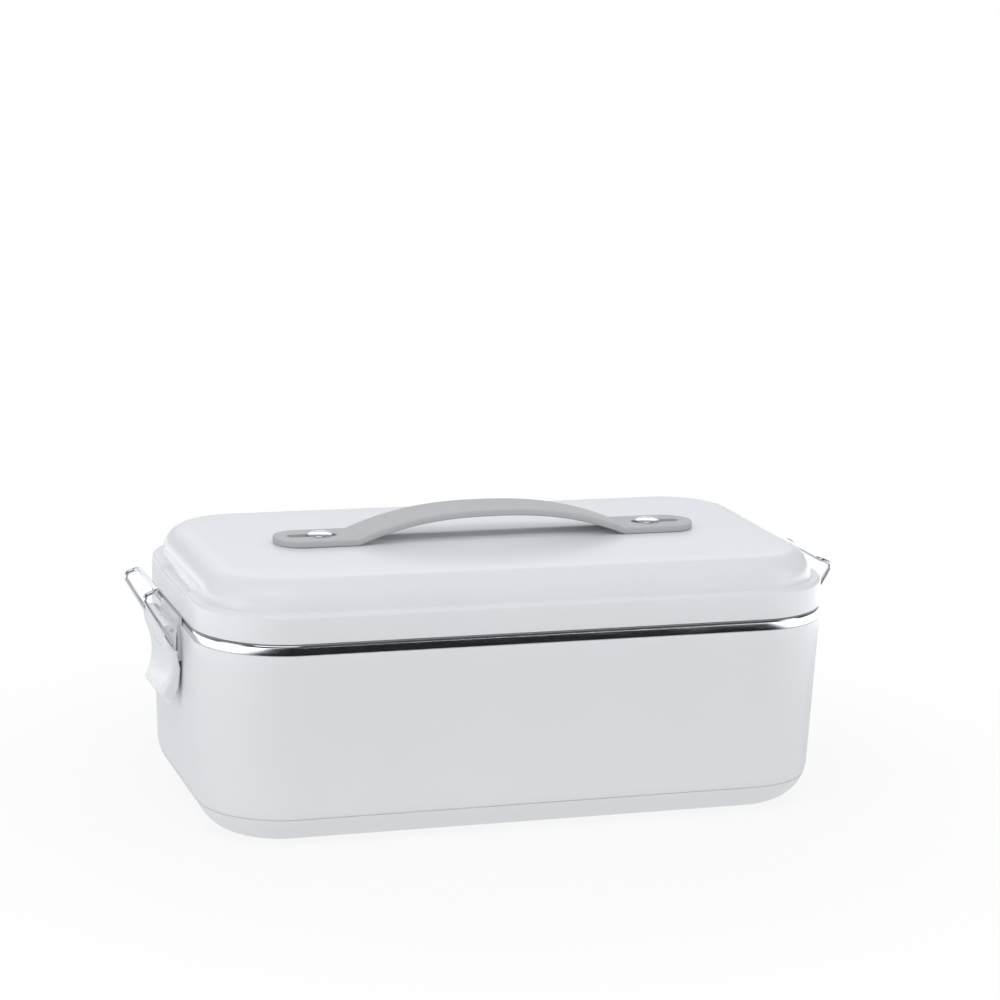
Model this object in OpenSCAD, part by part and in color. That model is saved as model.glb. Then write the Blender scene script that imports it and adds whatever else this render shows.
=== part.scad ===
// Electric lunch box, shut: heated body, lift-out steel container, clear inner lid, domed outer
// lid with a strap handle, and a lever-and-bail latch at each end.
// Millimetres, +Z up, origin on the table under the middle of the body.
// Insets are measured inwards from the upright faces of the steel rim.

/* [Body] */
// Length over the steel rim
body_l = 240; // [220:1:260]
// Depth over the steel rim
body_w = 133; // [124:1:150]
// Plan corner radius at the rim
corner_r = 33; // [31:0.5:40]
// Height of the shell's top edge
shell_top = 72.4; // [72:0.2:80]
// How far each wall leans in by the bottom
draft = 3; // [2:0.1:4]
// Radius of the rounded bottom edge
bottom_round = 15; // [13:0.5:15]
// Wall of the shell and the base cover
wall = 2.2; // [1.8:0.1:2.4]
// Height of the seam between shell and base cover
seam_z = 11.5; // [10.5:0.25:12.5]
// Diameter of a rubber foot
foot_d = 12; // [8:0.5:16]
// How far a foot stands out of the base cover
foot_proud = 0.8; // [0.5:0.1:1.5]
// Depth of the seat that a foot sits in
foot_seat = 1; // [0.5:0.1:1.4]

/* [Steel container] */
// Sheet thickness
sheet = 0.6; // [0.5:0.05:0.8]
// Width of the flat rim
rim_flange = 4.6; // [4.5:0.1:5.2]
// Height of the turned-down band
band_h = 4; // [3:0.2:6]
// Height of the container's underside
cont_z = 19; // [18.5:0.25:20]
// Inset of the wall at the foot of the container
cont_low_inset = 14; // [13.5:0.25:16]
// Inset of the wall under the neck
cont_high_inset = 9.5; // [9:0.25:10.5]
// Radius between floor and wall
cont_round = 12; // [9:0.5:12]
// Depth of the neck that the seal fits
neck_h = 5.8; // [5.2:0.1:8]
// Length of the gap in the band at each latch
band_gap = 72; // [64:0.5:76]

/* [Liner and heater] */
// Running gap between container and liner
liner_gap = 0.5; // [0.4:0.05:0.6]
// Wall of the liner
liner_wall = 1.1; // [0.9:0.05:1.2]
// Length of the plate's raised pad
pad_l = 150; // [130:1:165]
// Depth of the plate's raised pad
pad_w = 66; // [56:1:70]
// Ledge of the plate under the liner floor
plate_ledge = 7; // [5:0.5:7]
// Thickness of that ledge
plate_t = 1.6; // [1.2:0.1:2]
// Length of the heating element
element_l = 64; // [54:1:66]
// Width of the heating element
element_w = 28; // [22:1:30]
// Thickness of the heating element
element_t = 4; // [3:0.2:4.5]
// Diameter of the thermostat can
thermostat_d = 16; // [12:0.5:17]
// Diameter of the thermal fuse in its sleeve
fuse_d = 4.4; // [3.5:0.1:4.6]
// Diameter of the inner wires over their cover
wire_d = 2; // [1.6:0.1:2.2]
// Distance of the inlet from the middle
inlet_x = 60; // [50:1:66]
// Width of the inlet block
inlet_w = 24; // [22:0.5:28]
// Height of the inlet block
inlet_h = 10.2; // [9.6:0.1:10.4]
// Diameter of an inlet pin
pin_d = 2.4; // [2:0.1:2.6]
// Distance between the inlet pins
pin_pitch = 8.6; // [8:0.1:9]

/* [Inner lid] */
// Inset of the flange's edge
flange_inset = 1.9; // [1.9:0.1:2.4]
// Thickness of the flange
flange_t = 1.3; // [1:0.1:1.6]
// Inset of the plug that enters the container
plug_inset = 10.2; // [9.4:0.1:12]
// Depth of the plug
plug_h = 8.4; // [6:0.2:10]
// Wall of the plug and of the raised ring
clear_wall = 1.6; // [1.2:0.1:2]
// Length of the raised ring
ring_l = 209.4; // [190:0.2:211]
// Depth of the raised ring
ring_w = 63.7; // [50:0.1:80]
// Plan corner radius of the raised ring
ring_r = 22; // [14:0.5:24]
// Height of the raised ring
ring_h = 10.7; // [8:0.1:12]
// Radius of the round lug at each end of the ring
lug_r = 6.5; // [5:0.25:7]
// Height of that lug
lug_h = 8.4; // [6:0.2:8.4]
// Thickness of the seal
seal_t = 3.8; // [2.5:0.1:4.4]

/* [Outer lid] */
// Wall of the skirt
skirt_wall = 1.4; // [1.2:0.05:1.45]
// Height of the skirt
skirt_h = 10.4; // [10:0.1:12]
// Inset of the foot of the dome
dome_inset = 3.6; // [3.5:0.1:4.5]
// Height of the dome above the ledge
dome_h = 10.8; // [9:0.2:16]
// Radius of the dome's rounded edge
dome_round = 9.6; // [6:0.2:10]
// Wall of the dome
lid_wall = 2.2; // [1.8:0.1:2.4]
// Depth of the notch that a bail rests in
notch_d = 1.6; // [1.6:0.1:1.8]

/* [Handle] */
// Length over the strap's ends
strap_l = 164; // [150:1:176]
// Width of the strap
strap_w = 21; // [14:0.5:26]
// Thickness of the strap
strap_t = 2.5; // [2:0.1:4]
// Distance between the ends of the arch
arch_span = 104; // [90:1:106]
// Rise of the arch
arch_rise = 9.1; // [6:0.1:20]
// Distance between the studs
stud_pitch = 129; // [124:1:134]
// Diameter of a stud's head
stud_head_d = 9.3; // [8:0.1:12]
// Diameter of a stud's shank
stud_d = 4; // [3:0.1:5]
// Distance between a slot and the strap's end
slot_margin = 5; // [4:0.5:8]
// Room in a slot between its stud and its inner end
slot_room = 4.5; // [3:0.5:5]

/* [Latches] */
// Width of the bracket's plate
bracket_w = 30; // [26:0.5:30.5]
// Width of the lever below the bail's pivots
lever_w = 40; // [38:0.5:44]
// Thickness of the lever's skin and cheeks
lever_wall = 1.6; // [1.4:0.1:1.8]
// Width of the lever at its foot
lever_foot_w = 26; // [25:0.5:30]
// How far the lever's pin stands out from the rim's end face
hinge_out = 3.2; // [3.1:0.05:3.4]
// Height of the lever's pin
hinge_z = 71; // [70.5:0.1:71.2]
// Diameter of the lever's pin
hinge_d = 1.4; // [1.2:0.05:1.5]
// Wire of the bail
bail_wire = 1.5; // [1.2:0.05:1.6]
// Distance between the middles of the bail's legs
bail_w = 36; // [35.5:0.25:36]
// Straight length of a leg, pivot to bend
bail_leg = 21; // [20.9:0.1:21.5]
// Reach of the hook over the lid
bail_hook = 5.9; // [5.6:0.1:6.2]
// Lean of the open bail
bail_lean = 31; // [29:0.5:33]

/* [Hidden] */
$fn = 64;
eps = 0.01;             // overlap that makes a cut clean
fit_gap = 0.3;          // gap between pieces that don't touch
run_gap = 0.05;         // running gap around a pin
half_l = body_l / 2;
half_w = body_w / 2;
base_z = foot_proud;
rim_top = shell_top + band_h;
rim_under = rim_top - sheet;
round_step = 15;        // degrees between points of a rounded profile

// ---- shared shapes -------------------------------------------------------------------------

// A block with the plan l by w, corners of radius r, and sides given by [inset, height] points,
// lowest first.
module block(pts, l = body_l, w = body_w, r = corner_r) {
    last = len(pts) - 1;
    function side(half) = [for (p = pts) [half - p[0], p[1]]];
    function other(half) = [for (i = [last:-1:0]) [p_neg(half, pts[i]), pts[i][1]]];
    for (sx = [0, 1], sy = [0, 1])
        mirror([sx, 0, 0]) mirror([0, sy, 0]) translate([l / 2 - r, w / 2 - r, 0])
            rotate_extrude(angle = 90)
                polygon(concat([[0, pts[0][1]]], side(r), [[0, pts[last][1]]]));
    translate([-(l / 2 - r), 0, 0]) rotate([90, 0, 90]) linear_extrude(l - 2 * r)
        polygon(concat(side(w / 2), other(w / 2)));
    translate([0, w / 2 - r, 0]) rotate([90, 0, 0]) linear_extrude(w - 2 * r)
        polygon(concat(side(l / 2), other(l / 2)));
}
function p_neg(half, p) = p[0] - half;

module slab(inset, z0, z1, l = body_l, w = body_w, r = corner_r) {
    block([[inset, z0], [inset, z1]], l, w, r);
}

// A round wire through the given points, with twelve sides.
module wire(pts, d) {
    for (i = [0:len(pts) - 2]) hull() {
        translate(pts[i]) sphere(d = d, $fn = 12);
        translate(pts[i + 1]) sphere(d = d, $fn = 12);
    }
}

module four(x, y) {
    for (sx = [-1, 1], sy = [-1, 1]) translate([sx * x, sy * y, 0]) children();
}

module screw(head_d, head_h, shank_d, shank_l) {
    cylinder(h = head_h + eps, d = head_d);
    translate([0, 0, head_h]) cylinder(h = shank_l, d = shank_d);
}

// ---- body ----------------------------------------------------------------------------------

lean_h = shell_top - base_z;
function lean(z) = draft * (shell_top - z) / lean_h;
function round_in(z, r) = z >= base_z + bottom_round ? bottom_round - r
    : bottom_round - sqrt(max(0, pow(r, 2) - pow(base_z + bottom_round - z, 2)));
function skin(z) = [lean(z) + round_in(z, bottom_round), z];
function lining(z) = [lean(z) + round_in(z, bottom_round - wall), z];
round_top = base_z + bottom_round;
// Heights of the points of the rounded bottom edge, from z0 up, as far as the base cover goes.
function base_rise(z0, r) = [for (a = [0:round_step / 1.5:90]) let (z = z0 + r * (1 - cos(a)))
    if (z < seam_z - 1) z];
skin_base = [for (z = base_rise(base_z, bottom_round)) skin(z)];
lining_base = [for (z = base_rise(base_z + wall, bottom_round - wall)) lining(z)];
seam_rise = [for (i = [0:3]) seam_z + (round_top - seam_z) * i / 3];

// Where the base screws go: posts on the base cover, bosses under the liner.
post_d = 8;
post_in = 22;           // how far a post stands in from the rim's corner arc
post_x = half_l - corner_r + (corner_r - post_in) * cos(45);
post_y = half_w - corner_r + (corner_r - post_in) * sin(45);
pilot_end = 1;          // plastic left above a screw's end
base_screw_d = 2.9;
base_head_d = 5.6;
base_head_h = 2;
base_seat_z = 7.2;
screw_top = cont_z - liner_gap - liner_wall - 2 * pilot_end;

inlet_top = cont_z - liner_gap - liner_wall - 0.4;
inlet_z = inlet_top - inlet_h / 2;
inlet_depth = 22;
inlet_back = half_w - inlet_depth;
pin_stub = 2;           // how far a pin stands out behind the inlet
module inlet_cut() {
    translate([inlet_x - inlet_w / 2 - fit_gap, inlet_back - pin_stub, inlet_top - inlet_h - fit_gap])
        cube([inlet_w + 2 * fit_gap, 2 * inlet_depth, inlet_h + 2 * fit_gap]);
}

module outer_shell() {
    color("whitesmoke") difference() {
        block(concat([for (z = seam_rise) skin(z)], [skin(shell_top)]));
        block(concat([lining(seam_z - eps)], [for (z = seam_rise) lining(z)],
            [lining(shell_top + eps)]));
        inlet_cut();
    }
}

module base_cover() {
    color("white") difference() {
        union() {
            difference() {
                block(concat(skin_base, [skin(seam_z)]));
                block(concat(lining_base, [lining(seam_z), lining(seam_z + eps)]));
            }
            four(post_x, post_y) translate([0, 0, base_z + wall / 2])
                cylinder(h = seam_z - base_z - wall / 2, d = post_d);
        }
        four(post_x, post_y) {
            translate([0, 0, -eps]) cylinder(h = base_seat_z + eps, d = base_head_d + 2 * fit_gap);
            cylinder(h = seam_z + 1, d = base_screw_d + fit_gap);
        }
        four(foot_x, foot_y) translate([0, 0, base_z - eps])
            cylinder(h = foot_seat, d = foot_d + fit_gap);
        inlet_cut();
    }
}

foot_x = half_l - corner_r - foot_d / 2;
foot_y = half_w - corner_r - foot_d / 4;
module rubber_feet() {
    color("dimgray") four(foot_x, foot_y) cylinder(h = base_z + foot_seat - eps, d = foot_d);
}

module base_screws() {
    color("silver") four(post_x, post_y) translate([0, 0, base_seat_z - base_head_h])
        screw(base_head_d, base_head_h - eps, base_screw_d, screw_top - base_seat_z);
}

// ---- steel container, liner ----------------------------------------------------------------

neck_inset = rim_flange - sheet;
neck_z = rim_under - neck_h;
shoulder_h = 6;
function tub(gap, floor_gap) = concat(
    [for (a = [0:round_step:90]) [cont_low_inset - gap + (cont_round + gap) * (1 - sin(a)),
        cont_z - floor_gap + (cont_round + floor_gap) * (1 - cos(a))]],
    [[cont_high_inset - gap, neck_z - shoulder_h], [neck_inset - gap, neck_z]]);

module steel_container() {
    color("silver") difference() {
        union() {
            difference() {
                block(concat(tub(0, 0), [[neck_inset, rim_under + eps]]));
                block(concat(tub(-sheet, -sheet), [[neck_inset + sheet, rim_top + 1]]));
            }
            difference() {
                slab(0, shell_top, rim_top);
                slab(sheet, shell_top - eps, rim_under);
                slab(rim_flange, rim_under - eps, rim_top + eps);
            }
        }
        for (s = [-1, 1]) translate([s * half_l, 0, rim_under - band_h])
            cube([4 * sheet, band_gap, 2 * band_h], center = true);
    }
}

liner_lip = 1;          // inset of the liner's top flange
liner_lip_h = 1;
liner_top = shell_top + liner_lip_h;
liner_neck = neck_inset - liner_gap;
module inner_liner() {
    out = liner_gap + liner_wall;
    color("gainsboro") difference() {
        union() {
            slab(liner_lip, shell_top, liner_top);
            block(concat(tub(out, out), [[neck_inset - out, liner_top]]));
            four(post_x, post_y) translate([0, 0, seam_z]) cylinder(h = cont_z - seam_z, d = post_d);
        }
        block(concat(tub(liner_gap, liner_gap), [[liner_neck, rim_under + 1]]));
        four(post_x, post_y) translate([0, 0, seam_z - eps])
            cylinder(h = screw_top + pilot_end - seam_z, d = base_screw_d + 2 * run_gap);
        slab(0, cont_z - 4, cont_z, pad_l + 1, pad_w + 1, pad_r + 0.5);
        four(plate_screw_x, plate_screw_y) translate([0, 0, cont_z - 5]) cylinder(h = 6, d = 3);
    }
}

// ---- heater --------------------------------------------------------------------------------

pad_r = 12;
liner_under = cont_z - liner_gap - liner_wall;
plate_bottom = liner_under - plate_t;
plate_screw_x = pad_l / 2 + 3.6;
plate_screw_y = pad_w / 4;
small_head_h = 1.8;
small_head_d = 5;
small_shank_d = 2.9;
element_x = -0.16 * pad_l;
clamp_t = 1.2;
clamp_l = 18;
clamp_foot = 10;
clamp_screw_y = element_w / 2 + fit_gap + clamp_t + clamp_foot / 2;
thermostat_h = 6.5;
thermostat_screw_y = thermostat_d / 2 + 4;
screw_grip = 2;         // how far a small screw goes into the plate
tab_l = 5;              // width and free length of the flat terminals
tab_t = 0.8;
fuse_l = 12;
fuse_x = element_x + element_l / 2 + fuse_l;
fuse_y = 16;
thermostat_x = fuse_x + fuse_l / 2 + thermostat_d;
clip_screw_y = fuse_y + fuse_d / 2 + 4.5;

module heater_plate() {
    color("lightgray") difference() {
        union() {
            slab(0, plate_bottom + eps, cont_z, pad_l, pad_w, pad_r);
            slab(-plate_ledge, plate_bottom, liner_under, pad_l, pad_w, pad_r);
        }
        four(plate_screw_x, plate_screw_y) translate([0, 0, cont_z - 8])
            cylinder(h = 8, d = small_shank_d + fit_gap);
        plate_holes() cylinder(h = 2.6, d = small_shank_d + 2 * run_gap);
    }
}

// The places of the screws that hold the clamp, the thermostat and the fuse's clip.
module plate_holes() {
    for (s = [-1, 1]) {
        translate([element_x, s * clamp_screw_y, plate_bottom - eps]) children();
        translate([thermostat_x, s * thermostat_screw_y, plate_bottom - eps]) children();
    }
    translate([fuse_x, clip_screw_y, plate_bottom - eps]) children();
}

module plate_screws() {
    color("silver") four(plate_screw_x, plate_screw_y)
        translate([0, 0, plate_bottom - small_head_h - eps])
            screw(small_head_d, small_head_h, small_shank_d, plate_t + liner_wall);
}

module heating_element() {
    color("saddlebrown") translate([element_x, 0, plate_bottom - element_t / 2])
        cube([element_l, element_w, element_t], center = true);
    color("silver") for (s = [-1, 1])
        translate([element_x + s * (element_l + tab_l) / 2, 0, plate_bottom - element_t / 2])
            cube([tab_l + eps, tab_l, tab_t], center = true);
}

module element_clamp() {
    top = plate_bottom - element_t;
    side = element_w / 2 + fit_gap;
    color("lightsteelblue") difference() {
        union() {
            translate([element_x - clamp_l / 2, -side - clamp_t, top - clamp_t])
                cube([clamp_l, 2 * (side + clamp_t), clamp_t]);
            for (s = [0, 1]) mirror([0, s, 0]) {
                translate([element_x - clamp_l / 2, side, top - clamp_t])
                    cube([clamp_l, clamp_t, element_t + clamp_t]);
                translate([element_x - clamp_l / 2, side, plate_bottom - clamp_t])
                    cube([clamp_l, clamp_foot + clamp_t, clamp_t]);
            }
        }
        for (s = [-1, 1]) translate([element_x, s * clamp_screw_y, plate_bottom - 2 * clamp_t])
            cylinder(h = 3 * clamp_t, d = small_shank_d + fit_gap);
    }
}

ear_t = 1;
ear_w = 8;
ear_end = 3.5;          // how far an ear goes on beyond its screw's middle
module clamp_screws() {
    color("silver") {
        for (s = [-1, 1]) {
            small_screw(element_x, s * clamp_screw_y, clamp_t);
            small_screw(thermostat_x, s * thermostat_screw_y, ear_t);
        }
        small_screw(fuse_x, clip_screw_y, ear_t);
    }
}

// A screw up into the plate at x, y, through a sheet of thickness t.
module small_screw(x, y, t) {
    translate([x, y, plate_bottom - t - small_head_h - eps])
        screw(small_head_d, small_head_h, small_shank_d, t + screw_grip);
}

can_tab_z = plate_bottom - thermostat_h + 1.5;
can_tab_x = thermostat_d / 2 + 1.5;
module thermostat() {
    ear_half = thermostat_screw_y + ear_end;
    color("black") translate([thermostat_x, 0, plate_bottom - thermostat_h])
        cylinder(h = thermostat_h - ear_t, d = thermostat_d);
    color("silver") {
        difference() {
            translate([thermostat_x - ear_w / 2, -ear_half, plate_bottom - ear_t])
                cube([ear_w, 2 * ear_half, ear_t]);
            for (s = [-1, 1]) translate([thermostat_x, s * thermostat_screw_y, plate_bottom - 2 * ear_t])
                cylinder(h = 3 * ear_t, d = small_shank_d + fit_gap);
        }
        for (s = [-1, 1]) translate([thermostat_x + s * can_tab_x, 0, can_tab_z])
            cube([tab_l, tab_l, tab_t], center = true);
    }
}

fuse_play = 0.1;
fuse_z = plate_bottom - fuse_d / 2 - fuse_play;
clip_w = 6;
module thermal_fuse() {
    color("ivory") translate([fuse_x - fuse_l / 2, fuse_y, fuse_z]) rotate([0, 90, 0])
        cylinder(h = fuse_l, d = fuse_d);
}

module fuse_clip() {
    inner = fuse_d / 2 + fuse_play;
    outer = inner + ear_t;
    color("silver") difference() {
        translate([fuse_x - clip_w / 2, 0, 0]) {
            translate([0, fuse_y, fuse_z]) rotate([0, 90, 0]) cylinder(h = clip_w, d = 2 * outer);
            translate([0, fuse_y - outer, fuse_z]) cube([clip_w, 2 * outer, plate_bottom - fuse_z]);
            translate([0, fuse_y, plate_bottom - ear_t])
                cube([clip_w, clip_screw_y + ear_end - fuse_y, ear_t]);
        }
        translate([fuse_x - clip_w, 0, 0]) {
            translate([0, fuse_y, fuse_z]) rotate([0, 90, 0]) cylinder(h = 2 * clip_w, d = 2 * inner);
            translate([0, fuse_y - inner, fuse_z]) cube([2 * clip_w, 2 * inner, 2 * fuse_d]);
            translate([0, fuse_y - 2 * outer, plate_bottom]) cube([2 * clip_w, 4 * outer, fuse_d]);
        }
        translate([fuse_x, clip_screw_y, plate_bottom - 2 * ear_t])
            cylinder(h = 3 * ear_t, d = small_shank_d + fit_gap);
    }
}

// ---- inlet and inner wires -----------------------------------------------------------------

inlet_in = 0.4;         // how far the inlet's face stands behind the wall's
recess_d = 8.2;
recess_depth = 16;
pin_recess = 7;         // how far a pin's tip stands behind the rim's rear face
pin_tip = half_w - pin_recess;
pin_back = inlet_back - pin_stub;
wire_start = pin_back - wire_d / 2;
module inlet_socket() {
    heights = concat([for (p = skin_base) p[1]], seam_rise, [shell_top]);
    color("black") difference() {
        intersection() {
            translate([inlet_x - inlet_w / 2, inlet_back, inlet_top - inlet_h])
                cube([inlet_w, 2 * inlet_depth, inlet_h]);
            block([for (z = heights) skin(z) + [inlet_in, 0]]);
        }
        for (s = [-1, 1]) translate([inlet_x + s * pin_pitch / 2, half_w, inlet_z]) rotate([90, 0, 0]) {
            cylinder(h = recess_depth, d = recess_d);
            cylinder(h = 2 * inlet_depth, d = pin_d + 2 * run_gap);
        }
        translate([inlet_x - pin_pitch / 2, half_w - recess_depth, inlet_z - recess_d / 2])
            cube([pin_pitch, 2 * recess_depth, recess_d]);
    }
}

module inlet_pins() {
    color("gold") for (s = [-1, 1]) translate([inlet_x + s * pin_pitch / 2, pin_tip, inlet_z])
        rotate([90, 0, 0]) cylinder(h = pin_tip - pin_back, d = pin_d);
}

tab_z = plate_bottom - element_t / 2;
can_tab_out = can_tab_x + (tab_l + wire_d) / 2;
element_tab_out = element_l / 2 + tab_l + wire_d / 2;
wire_low = 6;
wire_lead = 8;          // straight length of a wire behind its pin
wire_turn = 9;          // how far the live wire swings out beside the thermostat
wire_y = 20;
wire_side_y = 30;       // where the neutral wire runs beside the heater
tail = 4;               // straight length of a wire at a fuse's end
module live_wire() {
    pin_x = inlet_x + pin_pitch / 2;
    tab_x = thermostat_x + can_tab_out;
    color("sienna") wire([[pin_x, wire_start, inlet_z], [pin_x, pin_back - wire_lead, inlet_z],
        [pin_x, wire_y, wire_low], [tab_x + wire_turn, 0, can_tab_z], [tab_x, 0, can_tab_z]], wire_d);
}

module link_wire() {
    fuse_out = fuse_x + fuse_l / 2 + wire_d / 2;
    fuse_in = fuse_x - fuse_l / 2 - wire_d / 2;
    can_x = thermostat_x - can_tab_out;
    end_x = element_x + element_tab_out;
    color("crimson") {
        wire([[can_x, 0, can_tab_z], [can_x - tail, 0, can_tab_z],
            [fuse_out + tail, fuse_y, fuse_z], [fuse_out, fuse_y, fuse_z]], wire_d);
        wire([[fuse_in, fuse_y, fuse_z], [fuse_in - tail, fuse_y, fuse_z],
            [end_x + tail, 0, tab_z], [end_x, 0, tab_z]], wire_d);
    }
}

module neutral_wire() {
    pin_x = inlet_x - pin_pitch / 2;
    far_x = element_x - element_tab_out;
    color("royalblue") wire([[pin_x, wire_start, inlet_z], [pin_x, pin_back - wire_lead, inlet_z],
        [pin_x - wire_y, wire_side_y, wire_low], [element_x, wire_side_y, wire_low],
        [far_x - 2 * wire_d - tail, wire_side_y / 2, wire_low], [far_x - 2 * tail, 0, tab_z],
        [far_x, 0, tab_z]], wire_d);
}

// ---- lids ----------------------------------------------------------------------------------

flange_top = rim_top + flange_t;
lug_x = ring_l / 2 + 1.8;
lug_hole_out = 1.4;     // how far the hollow in a lug stands out from the lug's middle
lug_floor = 2;
module clear_lid() {
    color("lightsteelblue", 0.6) difference() {
        union() {
            slab(flange_inset, rim_top, flange_top);
            difference() {
                slab(plug_inset, rim_top - plug_h, rim_top + eps, r = corner_r);
                slab(plug_inset + clear_wall, rim_top - plug_h - eps, rim_top + 2 * eps);
            }
            difference() {
                slab(0, flange_top - eps, flange_top + ring_h, ring_l, ring_w, ring_r);
                slab(clear_wall, flange_top - 2 * eps, flange_top + ring_h + eps, ring_l, ring_w, ring_r);
            }
            for (s = [-1, 1]) intersection() {
                translate([s * lug_x, 0, flange_top - eps]) cylinder(h = lug_h, r = lug_r);
                translate([s * (ring_l / 2 + lug_r), 0, flange_top])
                    cube([2 * lug_r, 3 * lug_r, 3 * lug_h], center = true);
            }
        }
        for (s = [-1, 1]) translate([s * (lug_x + lug_hole_out), 0, flange_top + lug_floor])
            cylinder(h = lug_h, r = lug_r / 2.6);
    }
}

seal_gap = 0.4;
module lid_seal() {
    color("white") difference() {
        slab(rim_flange + seal_gap, rim_top - seal_t, rim_top);
        slab(plug_inset - 0.1, rim_top - seal_t - eps, rim_top + eps);
    }
}

lid_edge = 0.1;         // inset of the outer lid's skirt
edge_round = 1.5;
ledge_z = rim_top + skirt_h;
lid_top = ledge_z + dome_h;
ledge_under = ledge_z - notch_d - 1.3;
dome_lean = 0.6;
dome_in = dome_inset + lid_wall;
notch_in = 4.5;
notch_w = bail_w + 5;
function dome(inset, foot_z, top_z, r) = concat([[inset, foot_z]],
    [for (a = [0:round_step / 1.5:90]) [inset + dome_lean + r * (1 - cos(a)), top_z - r * (1 - sin(a))]]);

module outer_lid() {
    color("whitesmoke") difference() {
        union() {
            block(concat([[lid_edge, rim_top]], [for (a = [0:30:90])
                [lid_edge + edge_round * (1 - cos(a)), ledge_z - edge_round * (1 - sin(a))]]));
            block(dome(dome_inset, ledge_z - eps, lid_top, dome_round));
        }
        slab(lid_edge + skirt_wall, rim_top - eps, ledge_under);
        block(dome(dome_in, ledge_under - eps, lid_top - lid_wall, dome_round - lid_wall));
        for (s = [-1, 1]) {
            translate([s * (half_l - notch_in + 5), 0, ledge_z - notch_d + 5])
                cube([10, notch_w, 10], center = true);
            translate([s * stud_pitch / 2, 0, lid_top - 5]) cylinder(h = 6, d = stud_d + fit_gap);
        }
    }
}

// ---- handle --------------------------------------------------------------------------------

arch_power = 2.4;
arch_steps = 26;
function arch_z(x) = lid_top + arch_rise * (1 - pow(abs(2 * x / arch_span), arch_power));
arch_x = [for (i = [0:arch_steps]) arch_span * (i / arch_steps - 0.5)];
slot_in = stud_pitch / 2 - stud_d / 2 - slot_room;
slot_l = strap_l / 2 - slot_margin - slot_in;
slot_w = stud_d + 2 * fit_gap;

module carry_handle() {
    under = concat([[-strap_l / 2, lid_top]], [for (x = arch_x) [x, arch_z(x)]], [[strap_l / 2, lid_top]]);
    over = [for (i = [len(under) - 1:-1:0]) under[i] + [0, strap_t]];
    end_r = strap_w / 2 - 0.5;
    color("darkgray") difference() {
        intersection() {
            translate([0, strap_w / 2, 0]) rotate([90, 0, 0]) linear_extrude(strap_w)
                polygon(concat(under, over));
            slab(0, lid_top - 1, lid_top + arch_rise + strap_t + 1, strap_l, strap_w, end_r);
        }
        for (s = [-1, 1]) translate([s * (slot_in + slot_l / 2), 0, 0])
            slab(0, lid_top - 1, lid_top + strap_t + 1, slot_l, slot_w, slot_w / 2 - eps);
    }
}

stud_head_h = 1.3;
washer_t = 0.8;
nut_h = 3;
washer_z = lid_top - lid_wall - washer_t;
module at_studs(z) {
    for (s = [-1, 1]) translate([s * stud_pitch / 2, 0, z]) children();
}

module handle_studs() {
    foot = washer_z - nut_h;
    color("silver") {
        at_studs(lid_top + strap_t) cylinder(h = stud_head_h, d = stud_head_d);
        at_studs(foot) cylinder(h = lid_top + strap_t - foot + eps, d = stud_d);
    }
}

module stud_washers() {
    color("silver") at_studs(washer_z) difference() {
        cylinder(h = washer_t, d = stud_head_d);
        translate([0, 0, -1]) cylinder(h = washer_t + 2, d = stud_d + fit_gap);
    }
}

module stud_nuts() {
    color("silver") at_studs(washer_z - nut_h) difference() {
        cylinder(h = nut_h, d = 2 * stud_d, $fn = 6);
        translate([0, 0, -1]) cylinder(h = nut_h + 2, d = stud_d + 2 * run_gap);
    }
}

// ---- latches -------------------------------------------------------------------------------
// Each latch is drawn in its own [out, z] plane: out is the distance beyond the rim's end face.
// It is extruded across the box and turned to the left end or, mirrored, to the right end.

pivot_lead = 0.4;
pivot_drop = 4.7;
knuckle_r = 1.3;
neck_skin = 0.7;
waist_drop = 4;
back_drop = 9;
heel_top_drop = 14.5;
heel_drop = 19;
lip_below = 23.8;
foot_below = 28.3;
bracket_h = 12;
pivot_out = hinge_out + pivot_lead;
pivot_z = hinge_z - pivot_drop;
cheek_out = bail_w / 2 - bail_wire / 2 - fit_gap + run_gap;  // half width above the bail's pivots
cheek_in = cheek_out - lever_wall;
lever_front = hinge_out + knuckle_r + fit_gap + lever_wall;
lever_back = 1.6;
lever_back_z = hinge_z - back_drop;
heel_out = 0.2;
heel_top_z = hinge_z - heel_top_drop;
heel_z = hinge_z - heel_drop;
lever_waist_z = hinge_z - waist_drop;
lever_lip_z = hinge_z - lip_below;
lever_foot_z = hinge_z - foot_below;
lever_foot_out = 3.8;
lip_out = 1;
lip_drop = 1.3;
waist_in = 2.1;

module at_end(side) {
    mirror([side > 0 ? 1 : 0, 0, 0]) children();
}

module across(half) {
    translate([-half_l, half, 0]) rotate([90, 0, 0]) mirror([1, 0, 0]) linear_extrude(2 * half) children();
}

module rod(out, z, y0, y1, d) {
    translate([-half_l - out, y0, z]) rotate([-90, 0, 0]) cylinder(h = y1 - y0, d = d, $fn = 24);
}

bracket_gap = 0.4;
bracket_top = rim_under - bracket_gap;
plate_out = 0.9;
web_up = 0.8;
web_down = 3;
module latch_bracket(side) {
    wall_z = hinge_z - bracket_h;
    color("whitesmoke") at_end(side) difference() {
        union() {
            across(bracket_w / 2) polygon([[-lean(wall_z), wall_z], [-lean(shell_top), shell_top],
                [fit_gap - liner_lip, shell_top], [fit_gap - liner_lip, bracket_top],
                [plate_out, bracket_top], [plate_out, wall_z]]);
            across(cheek_in - bracket_gap) {
                translate([hinge_out, hinge_z]) circle(r = knuckle_r);
                polygon([[plate_out - eps, hinge_z - web_down], [hinge_out, hinge_z - knuckle_r],
                    [hinge_out, hinge_z + web_up], [plate_out - eps, hinge_z + web_up]]);
            }
        }
        rod(hinge_out, hinge_z, -cheek_out - 1, cheek_out + 1, hinge_d + 2 * run_gap);
    }
}
module latch_bracket_left() { latch_bracket(-1); }
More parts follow.
